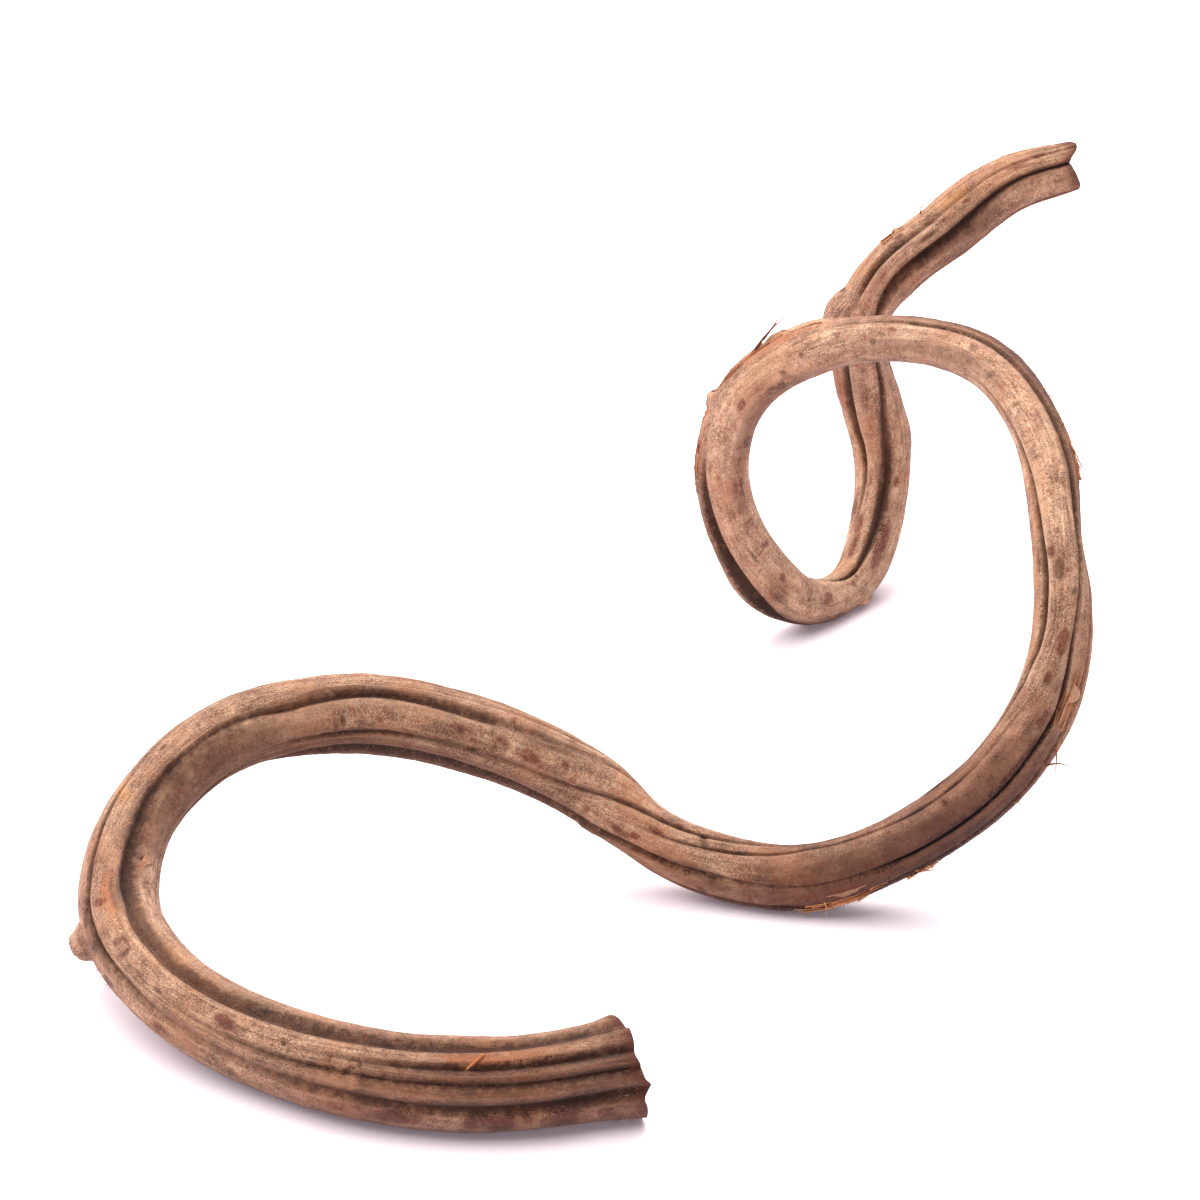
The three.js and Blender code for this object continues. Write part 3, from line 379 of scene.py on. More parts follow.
# Long loose fibres: thickness, then points as length along the stem, distance right of
# the middle line, distance in front of it.
FIBRES = [
    (1.5, [(38.4, 8.4, 9), (40.2, 7, 10.6), (42.2, 5.4, 11.4), (43, 4.6, 11.6)]),
    (0.4, [(367, 8.2, 2), (368.2, 9.6, 3), (368, 11.2, 3)]),
    (0.6, [(423.5, 6, 6), (424, 8.4, 5), (423.4, 11, 4)]),
    (0.4, [(447, 7.5, 3), (449, 9, 3), (448.4, 10.6, 2)]),
    (0.5, [(451, 7.4, 3), (453, 9.2, 3), (456, 10.4, 2)]),
    (0.4, [(454, 7.4, 3), (454.6, 9, 3), (453.4, 10.4, 2)]),
    (0.4, [(482, 8, 3), (483, 9.4, 4), (483, 11, 5)]),
    (0.35, [(490, 8.2, 3), (491.4, 9.4, 4), (491, 10.2, 5)]),
    (0.7, [(494, 8.4, 3), (496.4, 11.5, 4), (497.2, 15, 5)]),
    (0.8, [(500, 8.6, 3), (497, 10.6, 4), (493.6, 12.4, 5)]),
    (0.35, [(503, 8.6, 3), (501.6, 9.8, 4), (500.8, 11, 5)]),
    (0.4, [(574, 5.8, 4), (577, 7, 3), (578, 9.2, 3)]),
    (0.4, [(578, 9.2, 3), (582, 8.6, 3), (587, 8, 2), (588, 9, 2)]),
    (0.3, [(577, 7.4, 3), (584, 9.4, 3), (587, 8.4, 2)]),
    (0.5, [(591, 6.6, 3), (592.4, 8, 4), (592.8, 9, 4)]),
    (0.3, [(603, 8.2, 3), (600.6, 10.6, 4), (601.6, 14.8, 4)]),
    (0.35, [(606, 8, 3), (604.4, 9.4, 4), (601.2, 10.8, 4)]),
    (1.3, [(716, 7.2, 3), (710, 9.6, 3), (705, 11.6, 4), (699, 13.8, 4)]),
    (0.9, [(708, 10.2, 3), (703, 12.6, 3), (701, 14.2, 3)]),
    (0.6, [(722, 7.2, 3), (718, 8.4, 3), (712, 8.8, 3)]),
    (0.35, [(758, 8, 2), (761, 9.4, 2), (764, 11.4, 3)]),
    (0.5, [(991, -7.8, 4), (992.4, -9.4, 4), (992, -10.8, 4)]),
    (0.4, [(992, -9, 4), (996, -10.4, 4), (998.4, -9.4, 5), (996.6, -8.4, 5)]),
    (0.5, [(980, -7.6, 4), (981.6, -8.8, 4), (983, -7.8, 5)]),
    (0.35, [(1019, -8.2, 4), (1022, -9.2, 4), (1024.4, -8.8, 4)]),
    (0.28, [(284, -4.4, 9.6), (286.4, -1, 10.6), (288, 3.4, 10.4)]),
]

# Stretches where the bark is torn into strands: first and last length, first and last
# angle, how many strands, how far their ends lift.
TORN = [
    (682, 730, 62, 88, 14, 0.5), (734, 766, 60, 84, 12, 0.4),
    (416, 443, 56, 82, 18, 0.3), (566, 604, 70, 92, 10, 0.5),
    (504, 520, 32, 60, 8, 0.4), (447, 457, 70, 92, 5, 0.9),
    (976, 984, -78, -50, 5, 0.5),
]

# Stretches with more fuzz: first and last length, first and last angle, how many more.
FRAYED = [
    (570, 640, 75, 110, 260), (690, 726, 70, 110, 140), (737, 762, 70, 105, 90),
    (412, 500, 60, 110, 300), (150, 172, -110, -60, 60), (0, 6, -180, 180, 160),
    (1033, 1039, -180, 180, 120), (905, 930, -110, -60, 60), (260, 372, 60, 110, 240),
]

# Flakes of bark: first and last length, angle of the root and of the free edge, lift.
FLAKES = [
    (728.5, 732.5, 62, 94, 0.7), (424, 437, 34, 46, 0.5),
    (511, 517, 38, 66, 0.7), (846, 849, 66, 86, 0.4), (979.5, 983, -48, -84, 0.6),
    (186, 192, 36, 50, 0.4), (450, 457, 62, 92, 0.8),
]

# The angles round the stem start from the side that faces this far front point.
FRONT = np.array([0.0, -1034.0, 599.0])

# The stem's mesh: rings, and columns on each bank and rib.
RINGS = 976
BANK_COLUMNS = 3
RIB_COLUMNS = 4

# Degrees kept between furrows, widths of bank for a crease and for a hollow, and how far
# from its end a cut's edge is drawn out.
LEAST_GAP = 1.6
NARROW_BANK = 9.0
WIDE_BANK = 20.0
CUT_REACH = 14.0


def value_at(rows, s, column):
    """Smooth value between the rows of a table, by length along the stem. The last value
    of a shorter row also stands for the column that it leaves out."""
    x = np.array([row[0] for row in rows], float)
    y = np.array([row[min(column, len(row) - 1)] for row in rows], float)
    i = np.clip(np.searchsorted(x, s, side="left") - 1, 0, len(x) - 2)
    before = np.maximum(i - 1, 0)
    after = np.minimum(i + 2, len(x) - 1)
    step = x[i + 1] - x[i]
    f = np.clip((s - x[i]) / step, 0, 1)
    leave = (y[i + 1] - y[before]) / (x[i + 1] - x[before]) * step
    arrive = (y[after] - y[i]) / (x[after] - x[i]) * step
    f2 = f * f
    f3 = f2 * f
    return (
        (2 * f3 - 3 * f2 + 1) * y[i]
        + (f3 - 2 * f2 + f) * leave
        + (3 * f2 - 2 * f3) * y[i + 1]
        + (f3 - f2) * arrive
    )


def route_point(number):
    """Points of the middle line at route numbers such as 3.5, half way from point 3 to 4."""
    points = np.array(ROUTE, float)
    points = np.vstack([2 * points[0] - points[1], points, 2 * points[-1] - points[-2]])
    i = np.minimum(np.floor(number).astype(int), len(ROUTE) - 2)
    f = (number - i)[..., None]
    p, a, b, q = (points[i + k] for k in range(4))
    return 0.5 * (
        2 * a
        + (b - p) * f
        + (2 * p - 5 * a + 4 * b - q) * f**2
        + (3 * a - p - 3 * b + q) * f**3
    )


STEPS_BETWEEN_POINTS = 60
STEPS = STEPS_BETWEEN_POINTS * (len(ROUTE) - 1)
WALK_NUMBER = np.linspace(0, len(ROUTE) - 1, STEPS + 1)
WALK_POINT = route_point(WALK_NUMBER)
WALK_S = np.concatenate([[0], np.cumsum(np.linalg.norm(np.diff(WALK_POINT, axis=0), axis=1))])
LENGTH = WALK_S[-1]


def unit(v):
    return v / np.linalg.norm(v, axis=-1, keepdims=True)


def frame_at(s):
    """Middle point, direction of the stem, and the front and right sides of its section."""
    clear = 0.01
    exact = np.interp(s, WALK_S, WALK_NUMBER)
    number = np.clip(exact, clear, len(ROUTE) - 1 - clear)
    along = unit(route_point(number + clear) - route_point(number - clear))
    front = unit(FRONT - route_point(number))
    front = unit(front - along * np.sum(front * along, axis=-1, keepdims=True))
    return route_point(exact), along, front, np.cross(along, front)


def lean_at(s):
    """How far the stem leans to the view. Bark in front of the middle line shows farther
    back along the stem by this share of its distance."""
    centre, along, front, _ = frame_at(s)
    view = FRONT - centre
    return np.sum(view * along, axis=-1) / np.sum(view * front, axis=-1)


def oval_at(s, angle):
    """Distance from the middle line to the bark with no furrows."""
    across = np.sin(angle)
    side = np.where(across > 0, value_at(SECTION, s, 1), value_at(SECTION, s, 2))
    return 1 / np.hypot(across / side, np.cos(angle) / value_at(SECTION, s, 3))


def lumps_at(s, angle):
    """Height that buds, knots and lifted bark add."""
    height = np.zeros_like(s)
    for at, turn, tall, half_length, half_width in LUMPS:
        away = (np.degrees(angle) - turn + 540) % 360 - 180
        height += tall * np.exp(-((s - at) / half_length) ** 6 - (away / half_width) ** 2)
    return height


def cell_noise(points, seed):
    """Smooth random values between -1 and 1 on a lattice of unit cells."""
    table = np.random.default_rng(seed).random(NOISE_VALUES) * 2 - 1
    low = np.floor(points).astype(np.int64)
    f = points - low
    f = f * f * (3 - 2 * f)
    total = np.zeros(len(points))
    for corner in range(8):
        step = np.array([corner & 1, corner >> 1 & 1, corner >> 2 & 1])
        cell = low + step
        key = np.bitwise_xor.reduce(cell * NOISE_KEYS, axis=1)
        share = np.prod(np.where(step, f, 1 - f), axis=1)
        total += share * table[key % NOISE_VALUES]
    return total


def layered_noise(points, seed, layers=3):
    """Noise with finer and weaker layers added."""
    total = np.zeros(len(points))
    for layer in range(layers):
        total += cell_noise(points * 2**layer, seed + layer) * 0.5**layer
    return total


def groove_profile(t, width):
    """Share of a furrow's depth at a share t of its bank: a crease between round lobes
    where the bank is narrow, a soft hollow where it is wide."""
    t = np.clip(t, 0, 1)
    crease = (1 - t) ** CREASE_POWER
    hollow = 0.5 + 0.5 * np.cos(math.pi * t)
    wide = np.clip((width - NARROW_BANK) / (WIDE_BANK - NARROW_BANK), 0, 1)
    return crease * (1 - wide) + hollow * wide


def furrow_grid(s):
    """Every ring's angles, groove depths, painted shade and paler crests of wear and painted
    highlight: ten furrows, each with its two banks and a rib."""
    lean = lean_at(s) * value_at(SECTION, s, 3)
    beds = []
    for rows in FURROWS:
        facing = np.maximum(0, np.cos(np.radians(value_at(rows, s, 1))))
        beds.append([value_at(rows, s - lean * facing, c) for c in (1, 2, 3, 4)])
    bed, depth, left, right = (np.array(rows) for rows in zip(*beds))
    depth = np.maximum(0, depth)
    count = len(beds)
    for k in range(count):
        after = (k + 1) % count
        turn = 360 if after == 0 else 0
        room = bed[after] + turn - bed[k] - LEAST_GAP
        squeeze = np.minimum(1, room / (right[k] + left[after]))
        right[k] *= squeeze
        left[after] *= squeeze
    # Each column carries its furrow's painted shade and its crest's paleness of wear and painted
    # highlight.
    angles, grooves, shades, crests = [], [], [], []

    def column(angle, groove, shade, crest):
        angles.append(angle)
        grooves.append(groove)
        shades.append(np.clip(shade / SHADE_DEPTH, 0, 1))
        crests.append(np.clip(crest, 0, 1))

    nothing = np.zeros_like(s)
    for k in range(count):
        after = (k + 1) % count
        turn = 360 if after == 0 else 0
        next_bank = bed[after] + turn - left[after]
        for width, start, way in ((left[k], 1, -1), (right[k], 0, 1)):
            for i in range(BANK_COLUMNS):
                t = start + way * i / BANK_COLUMNS
                groove = depth[k] * groove_profile(t, width)
                column(bed[k] + way * width * t, groove, depth[k] * (1 - t), nothing)
        here = depth[k] / right[k]
        there = depth[after] / left[after]
        bank = bed[k] + right[k]
        for i in range(RIB_COLUMNS):
            t = i / RIB_COLUMNS
            crest = here * np.maximum(0, 1 - 2 * t) + there * np.maximum(0, 2 * t - 1)
            column(bank + (next_bank - bank) * t, nothing, nothing, crest * WORN_AND_LIT_EDGE)
    return np.radians(np.array(angles).T), *(np.array(v).T for v in (grooves, shades, crests))


def cut_edge(cut, angle):
    """How far a cut end's edge stands forward at an angle."""
    return value_at(cut, (np.degrees(angle) + 450) % 360 - 90, 1)


def stem_surface():
    """Vertices of every ring with what the bark's material reads at each of them."""
    s_ring = np.linspace(0, LENGTH, RINGS)
    centre, along, front, right = frame_at(s_ring)
    angles, grooves, shades, crests = furrow_grid(s_ring)
    columns = angles.shape[1]
    s = np.repeat(s_ring, columns)
    angle = angles.ravel()
    groove = grooves.ravel()

    # Places on the stem as if it were straight, so that the bark's fibres follow its furrows.
    turn = np.tile(np.arange(columns) * 2 * math.pi / columns, RINGS)
    grain = np.stack([s, GRAIN_RADIUS * np.cos(turn), GRAIN_RADIUS * np.sin(turn)], axis=1)

    reach = oval_at(s, angle) + lumps_at(s, angle) - groove
    reach += bark_relief(grain)
    side = reach * np.sin(angle)
    ahead = reach * np.cos(angle)
    seen = s - np.repeat(lean_at(s_ring), columns) * np.maximum(ahead, 0)
    marks = {kind: patch_mask(kind, seen, side, ahead) for kind in PATCHES}
    nick = marks.pop("nick")
    reach -= NICK_DEPTH * nick
    marks["stain"] = np.maximum(marks["stain"], nick)

    spread = [np.repeat(v, columns, axis=0) for v in (centre, along, front, right)]
    points = spread[0] + spread[2] * (reach * np.cos(angle))[:, None]
    points += spread[3] * (reach * np.sin(angle))[:, None]
    near_thick = np.clip(1 - s / CUT_REACH, 0, 1) ** 2
    near_thin = np.clip(1 - (LENGTH - s) / CUT_REACH, 0, 1) ** 2
    shift = near_thin * cut_edge(THIN_CUT, angle) - near_thick * cut_edge(THICK_CUT, angle)
    points += spread[1] * shift[:, None]
    points[:, 2] = np.maximum(points[:, 2], 0)
    # How far the bark faces down, for the painted shade of its underside.
    downward = -spread[2][:, 2] * np.cos(angle) - spread[3][:, 2] * np.sin(angle)
    # What the material reads: the painted shade of the underside and of the furrows, the darkening
    # by length that is partly painted shade, the crests paled by wear and painted highlight, the
    # cut ends and the marks.
    values = {
        "under": np.clip(downward, 0, 1),
        "weather_and_shade": value_at(WEATHER_AND_SHADE, s, 1),
        "hollow": shades.ravel(),
        "crest": crests.ravel(),
        "edge": np.maximum(near_thick, near_thin),
        "core": np.ones_like(s),
        **marks,
    }
    return points, grain, values, columns


def bark_relief(grain):
    """Low relief of the bark: slow lumps, ridges along the grain and a rough skin."""
    lumps = layered_noise(grain / LUMP_SIZE, SEED)
    ridges = layered_noise(grain / RIDGE_SIZE, SEED + 10, 2)
    wrinkles = layered_noise(grain / WRINKLE_SIZE, SEED + 20, 2)
    return LUMP_HEIGHT * lumps + RIDGE_HEIGHT * ridges + WRINKLE_HEIGHT * wrinkles


def patch_mask(kind, s, side, ahead):
    """Strength of one kind of mark, from its list of spots on the front of the stem."""
    mask = np.zeros_like(s)
    for at, across, half_length, half_width, strength in PATCHES[kind]:
        spot = np.exp(-((s - at) / half_length) ** 2 - ((side - across) / half_width) ** 2)
        mask = np.maximum(mask, strength * spot * (ahead > BACK_OF_MARKS))
    return mask


def cut_face(points, columns, end, cut_seed):
    """Rings of a cut end from its rim to its middle, with a torn fibrous face."""
    rim = points[:columns] if end == 0 else points[-columns:]
    middle, along, _, _ = frame_at(np.array([0.0 if end == 0 else LENGTH]))
    outward = -along[0] if end == 0 else along[0]
    middle = middle[0] + outward * np.mean((rim - middle[0]) @ outward)
    rings = []
    for share in CUT_SHARES:
        ring = middle + (rim - middle) * share
        rough = layered_noise(ring / CUT_GRAIN, cut_seed, 2) * CUT_ROUGHNESS
        sunk = CUT_RIM_SINK * (1 - share) ** 0.5
        rings.append(ring + outward * (rough - sunk)[:, None])
    return rings, middle - outward * CUT_RIM_SINK


def build_stem():
    points, grain, values, columns = stem_surface()
    vertices = [points]
    grains = [grain]
    total = len(points)
    faces = []
    ring = np.arange(columns)
    after = np.roll(ring, -1)
    for i in range(RINGS - 1):
        a, b = i * columns, (i + 1) * columns
        faces += np.stack([a + ring, a + after, b + after, b + ring], axis=1).tolist()
    cores = []
    for end in (0, 1):
        edge = ring if end == 0 else (RINGS - 1) * columns + ring
        rings, middle = cut_face(points, columns, end, SEED + 40 + end)
        for share, new_ring in zip(CUT_SHARES, rings):
            fresh = total + ring
            quad = [edge, np.roll(edge, -1), np.roll(fresh, -1), fresh]
            if end == 0:
                quad = quad[::-1]
            faces += np.stack(quad, axis=1).tolist()
            vertices.append(new_ring)
            grains.append(new_ring)
            cores.append(np.full(columns, share))
            total += columns
            edge = fresh
        vertices.append(middle[None])
        grains.append(middle[None])
        cores.append(np.zeros(1))
        fan = [edge, np.roll(edge, -1), np.full(columns, total)]
        if end == 0:
            fan = fan[::-1]
        faces += np.stack(fan, axis=1).tolist()
        total += 1
    extra = total - len(points)
    core = np.concatenate([values["core"], *cores])
    filled = {name: np.concatenate([v, np.zeros(extra)]) for name, v in values.items()}
    filled["core"] = core
    filled["edge"] = np.concatenate([values["edge"], np.ones(extra)])
    filled["cut"] = np.concatenate([np.zeros(len(points)), np.ones(extra)])
    return mesh_object("stem", np.vstack(vertices), faces, filled, np.vstack(grains))


def placed(name, data):
    """A new object in the scene."""
    holder = bpy.data.objects.new(name, data)
    bpy.context.scene.collection.objects.link(holder)
    return holder


def mesh_object(name, vertices, faces, values=None, grain=None):
    """A smooth mesh object in the part's frame, from points in the route's frame."""
    mesh = bpy.data.meshes.new(name)
    vertices = np.maximum(vertices, [-np.inf, -np.inf, 0])
    mesh.from_pydata(((vertices - MIDDLE) * MM).tolist(), [], faces)
    for key, numbers in (values or {}).items():
        attribute = mesh.attributes.new(key, "FLOAT", "POINT")
        attribute.data.foreach_set("value", np.asarray(numbers, np.float32))
    if grain is not None:
        attribute = mesh.attributes.new("grain", "FLOAT_VECTOR", "POINT")
        attribute.data.foreach_set("vector", np.asarray(grain, np.float32).ravel())
    mesh.polygons.foreach_set("use_smooth", [True] * len(mesh.polygons))
    mesh.validate()
    mesh.update()
    return placed(name, mesh)


def true_length(seen, ahead):
    """Length along the stem of a place that the front view shows at another length."""
    s = seen
    for _ in range(3):
        s = np.clip(seen + lean_at(s) * np.maximum(ahead, 0), 0, LENGTH)
    return s


def beside(s, across, ahead):
    """Points at lengths along the stem, so far right of its middle line and in front of it."""
    centre, _, front, right = frame_at(np.asarray(s, float))
    return centre + right * np.asarray(across)[..., None] + front * np.asarray(ahead)[..., None]


def thread(path, thickness, sides=4):
    """A thin tapering fibre along a smooth curve through the given points."""
    path = np.asarray(path, float)
    knots = np.linspace(0, 1, len(path))
    fine = np.linspace(0, 1, 4 * (len(path) - 1) + 1)
    rows = np.column_stack([knots, path])
    line = np.stack([value_at(rows, fine, c) for c in (1, 2, 3)], axis=1)
    along = unit(np.gradient(line, axis=0))
    side = unit(np.cross(along, THREAD_SKEW))
    over = np.cross(along, side)
    radius = 0.5 * thickness * (1 - THREAD_TAPER * fine)
    rings = []
    for k in range(sides):
        a = 2 * math.pi * k / sides
        rings.append(line + (side * math.cos(a) + over * math.sin(a)) * radius[:, None])
    vertices = np.stack(rings, axis=1).reshape(-1, 3)
    faces = []
    for i in range(len(line) - 1):
        for k in range(sides):
            a, b = i * sides + k, i * sides + (k + 1) % sides
            faces.append([a, b, b + sides, a + sides])
    last = (len(line) - 1) * sides
    faces.append(list(range(sides))[::-1])
    faces.append([last + k for k in range(sides)])
    return vertices, faces


def joined(name, parts):
    """One mesh object of many small meshes, each with a tone of its own."""
    rng = np.random.default_rng(SEED + len(parts))
    vertices, faces, tones, count = [], [], [], 0
    for points, polygons in parts:
        vertices.append(points)
        faces += [[v + count for v in polygon] for polygon in polygons]
        tones.append(np.full(len(points), rng.random()))
        count += len(points)
    return mesh_object(name, np.vstack(vertices), faces, {"tone": np.concatenate(tones)})


def build_fibres():
    """The long loose fibres that the bark sheds, through the listed points."""
    parts = []
    for thickness, points in FIBRES:
        seen, across, ahead = (np.array(c, float) for c in zip(*points))
        path = beside(true_length(seen, ahead), across, ahead)
        parts.append(thread(path, thickness))
    return joined("loose_fibres", parts)


def bark_at(s, angle):
    """Distance from the middle line to the bark, with its furrows and lumps."""
    return oval_at(s, angle) + lumps_at(s, angle) - groove_at(s, angle)


def around(s, angle, reach):
    """Points at angles round the stem, so far from its middle line."""
    return beside(s, reach * np.sin(angle), reach * np.cos(angle))


def build_strands():
    """Strands of torn bark that lie along the stem, with ends that lift off it."""
    rng = np.random.default_rng(SEED + 70)
    parts = []
    for first, last, first_angle, last_angle, count, lift in TORN:
        for _ in range(count):
            length = min(rng.uniform(*STRAND_LENGTHS), last - first)
            middle = rng.uniform(first + length / 2, last - length / 2)
            share = np.linspace(-0.5, 0.5, STRAND_POINTS)
            angle = rng.uniform(first_angle, last_angle)
            angle = angle + rng.uniform(-STRAND_TWIST, STRAND_TWIST) * share
            wobble = rng.uniform(-STRAND_WOBBLE, STRAND_WOBBLE, STRAND_POINTS)
            angle = np.radians(angle + wobble)
            ahead = np.cos(angle) * BARK_REACH
            s = true_length(middle + length * share, ahead)
            ends = (2 * np.abs(share)) ** 3
            proud = STRAND_STAND + lift * ends * rng.uniform(0.1, 1, STRAND_POINTS)
            path = around(s, angle, bark_at(s, angle) + proud)
            parts.append(thread(path, rng.uniform(*STRAND_THICKNESS)))
    return joined("torn_strands", parts)


def build_fuzz():
    """Short fibres that stand off the bark all over, thicker where it is frayed."""
    rng = np.random.default_rng(SEED + 60)
    parts = []
    s = [rng.uniform(CLEAR_OF_CUTS, LENGTH - CLEAR_OF_CUTS, FUZZ_COUNT)]
    angle = [rng.uniform(0, 360, FUZZ_COUNT)]
    longer = [np.ones(FUZZ_COUNT)]
    for first, last, first_angle, last_angle, more in FRAYED:
        s.append(rng.uniform(first, last, more))
        angle.append(rng.uniform(first_angle, last_angle, more))
        longer.append(np.full(more, FRAYED_LONGER))
    s = np.concatenate(s)
    angle = np.radians(np.concatenate(angle))
    reach = bark_at(s, angle)
    centre, along, front, right = frame_at(s)
    out = front * np.cos(angle)[:, None] + right * np.sin(angle)[:, None]
    root = centre + out * (reach - FUZZ_ROOT)[:, None]
    length = rng.uniform(*FUZZ_LENGTHS, len(s)) * np.concatenate(longer)
    lean = along * rng.choice([-1, 1], len(s))[:, None]
    lean = lean * rng.uniform(*FUZZ_LEAN, len(s))[:, None]
    turned = rng.uniform(-FUZZ_SIDEWAYS, FUZZ_SIDEWAYS, len(s))
    sideways = np.cross(along, out) * turned[:, None]
    heading = unit(out + lean + sideways)
    for i in range(len(s)):
        tip = root[i] + heading[i] * length[i]
        bend = root[i] + heading[i] * length[i] * 0.5 + out[i] * FUZZ_BEND * length[i]
        parts.append(hair(root[i], bend, tip, FUZZ_THICKNESS))
    return joined("bark_fuzz", parts)


def hair(root, bend, tip, thickness):
    """A three-sided spike with one bend."""
    along = unit(tip - root)
    side = unit(np.cross(along, FUZZ_SKEW))
    over = np.cross(along, side)
    rings = []
    for centre, radius in ((root, thickness / 2), (bend, thickness / 3)):
        for k in range(3):
            a = 2 * math.pi * k / 3
            rings.append(centre + (side * math.cos(a) + over * math.sin(a)) * radius)
    rings.append(tip)
    faces = [[2, 1, 0]]
    for k in range(3):
        j = (k + 1) % 3
        faces += [[k, j, j + 3, k + 3], [k + 3, j + 3, 6]]
    return np.array(rings), faces


def groove_at(s, angle):
    """Depth of the furrows at any places on the stem."""
    angles, grooves, _, _ = furrow_grid(s)
    turn = 2 * math.pi
    start = angles[:, :1]
    wrapped = (angle[:, None] - start) % turn
    order = angles - start
    result = np.empty_like(s)
    for i in range(len(s)):
        result[i] = np.interp(wrapped[i, 0], order[i], grooves[i])
    return result


def build_flakes():
    """Thin flakes of bark that have come loose along one side."""
    rng = np.random.default_rng(SEED + 80)
    parts = []
    for start, end, root_angle, tip_angle, lift in FLAKES:
        steps = max(FEWEST_STEPS, int((end - start) / FLAKE_STEP))
        seen = np.linspace(start, end, steps)
        rough = np.stack([seen / FLAKE_RAGGED, seen * 0, seen * 0], axis=1)
        ragged = EDGE_MIDDLE + EDGE_RANGE * cell_noise(rough, rng.integers(9999))
        taper = np.sin(np.linspace(FLAKE_TAPER, math.pi - FLAKE_TAPER, steps)) ** 0.8
        rows = []
        for t in np.linspace(0, 1, FLAKE_COLUMNS):
            angle = np.radians(root_angle + (tip_angle - root_angle) * t * ragged * taper)
            s = true_length(seen, np.cos(angle) * BARK_REACH)
            proud = lift * t**1.5 * taper - FLAKE_ROOT * (1 - t)
            rows.append(around(s, angle, bark_at(s, angle) + proud))
        parts.append(thin_sheet(np.stack(rows, axis=1), FLAKE_THICKNESS))
    return joined("bark_flakes", parts)


def thin_sheet(grid, thickness):
    """A closed thin sheet over a grid of points."""
    n, m, _ = grid.shape
    du = np.gradient(grid, axis=0)
    dv = np.gradient(grid, axis=1)
    normal = unit(np.cross(du, dv) + 1e-9)
    top = (grid + normal * thickness / 2).reshape(-1, 3)
    bottom = (grid - normal * thickness / 2).reshape(-1, 3)
    faces = []
    shift = n * m
    for i in range(n - 1):
        for j in range(m - 1):
            a = i * m + j
            quad = [a, a + m, a + m + 1, a + 1]
            faces.append(quad)
            faces.append([v + shift for v in quad[::-1]])
    border = list(range(m)) + [i * m + m - 1 for i in range(1, n)]
    border += [(n - 1) * m + j for j in range(m - 2, -1, -1)] + [i * m for i in range(n - 2, 0, -1)]
    for a, b in zip(border, border[1:] + border[:1]):
        faces.append([a, b, b + shift, a + shift])
    return np.vstack([top, bottom]), faces


class Shader:
    """Short ways to add nodes to a new material."""

    def __init__(self, name):
        self.material = bpy.data.materials.new(name)
        self.material.use_nodes = True
        self.tree = self.material.node_tree
        self.tree.nodes.clear()

    def node(self, kind, inputs=None, **settings):
        made = self.tree.nodes.new(kind)
        for key, value in settings.items():
            setattr(made, key, value)
        for key, value in (inputs or {}).items():
            self.feed(made.inputs[key], value)
        return made

    def feed(self, socket, value):
        """Links another node's output to an input, or sets the input to a value."""
        if isinstance(value, bpy.types.NodeSocket):
            self.tree.links.new(value, socket)
        else:
            socket.default_value = value

    def number(self, name):
        """A value stored on the mesh."""
        return self.node("ShaderNodeAttribute", attribute_name=name).outputs["Fac"]

    def sum(self, operation, *values):
        inputs = dict(enumerate(values))
        return self.node("ShaderNodeMath", inputs, operation=operation).outputs[0]

    def weighted(self, *parts):
        """Sum of values, each times its share."""
        total = 0.0
        for value, share in parts:
            total = self.sum("ADD", total, self.sum("MULTIPLY", value, share))
        return total

    def noise(self, vector, scale, detail=2.0, roughness=0.55):
        inputs = {"Vector": vector, "Scale": scale, "Detail": detail, "Roughness": roughness}
        return self.node("ShaderNodeTexNoise", inputs).outputs["Fac"]

    def drawn_noise(self, vector, factors, detail, roughness=0.55):
        """Noise that is drawn out along the fibres."""
        stretched = self.node(
            "ShaderNodeVectorMath", {0: vector, 1: factors}, operation="MULTIPLY"
        ).outputs[0]
        return self.noise(stretched, 1.0, detail, roughness)

    def step(self, value, low, high, to_low=0.0, to_high=1.0):
        """A soft step from one value to another."""
        inputs = {
            "Value": value, "From Min": low, "From Max": high, "To Min": to_low, "To Max": to_high,
        }
        return self.node(
            "ShaderNodeMapRange", inputs, interpolation_type="SMOOTHSTEP"
        ).outputs[0]

    def mark(self, name, ragged, edge):
        """Strength of one kind of mark, with a ragged edge."""
        mask = self.step(self.sum("ADD", ragged, self.number(name)), *edge)
        present = self.step(self.number(name), *MARK_FADE)
        return self.sum("MULTIPLY", mask, present)

    def blend(self, factor, a, b, mode="MIX"):
        mix = self.node("ShaderNodeMix", data_type="RGBA", blend_type=mode)
        for index, value in ((0, factor), (6, a), (7, b)):
            self.feed(mix.inputs[index], (*value, 1.0) if isinstance(value, tuple) else value)
        return mix.outputs[2]

    def ramp(self, factor, stops):
        node = self.node("ShaderNodeValToRGB", {"Fac": factor})
        points = node.color_ramp.elements
        while len(points) < len(stops):
            points.new(0.5)
        for point, (place, colour) in zip(points, stops):
            point.position = place
            point.color = (*colour, 1.0)
        return node.outputs["Color"]

    def finish(self, **inputs):
        surface = self.node("ShaderNodeBsdfPrincipled", inputs)
        output = self.node("ShaderNodeOutputMaterial")
        self.tree.links.new(surface.outputs[0], output.inputs["Surface"])
        return self.material


def rgb(red, green, blue):
    """A colour given as the screen shows it, as the linear values that shaders use."""
    return tuple((c / 12.92 if c <= 0.04045 else ((c + 0.055) / 1.055) ** 2.4)
                 for c in (red / 255, green / 255, blue / 255))


# Colours of the bark, and of what has come loose from it.
BARK_DARK = rgb(98, 66, 50)
BARK_MIDDLE = rgb(166, 122, 96)
BARK_LIGHT = rgb(220, 176, 144)
BARK_PALEST = rgb(240, 208, 170)
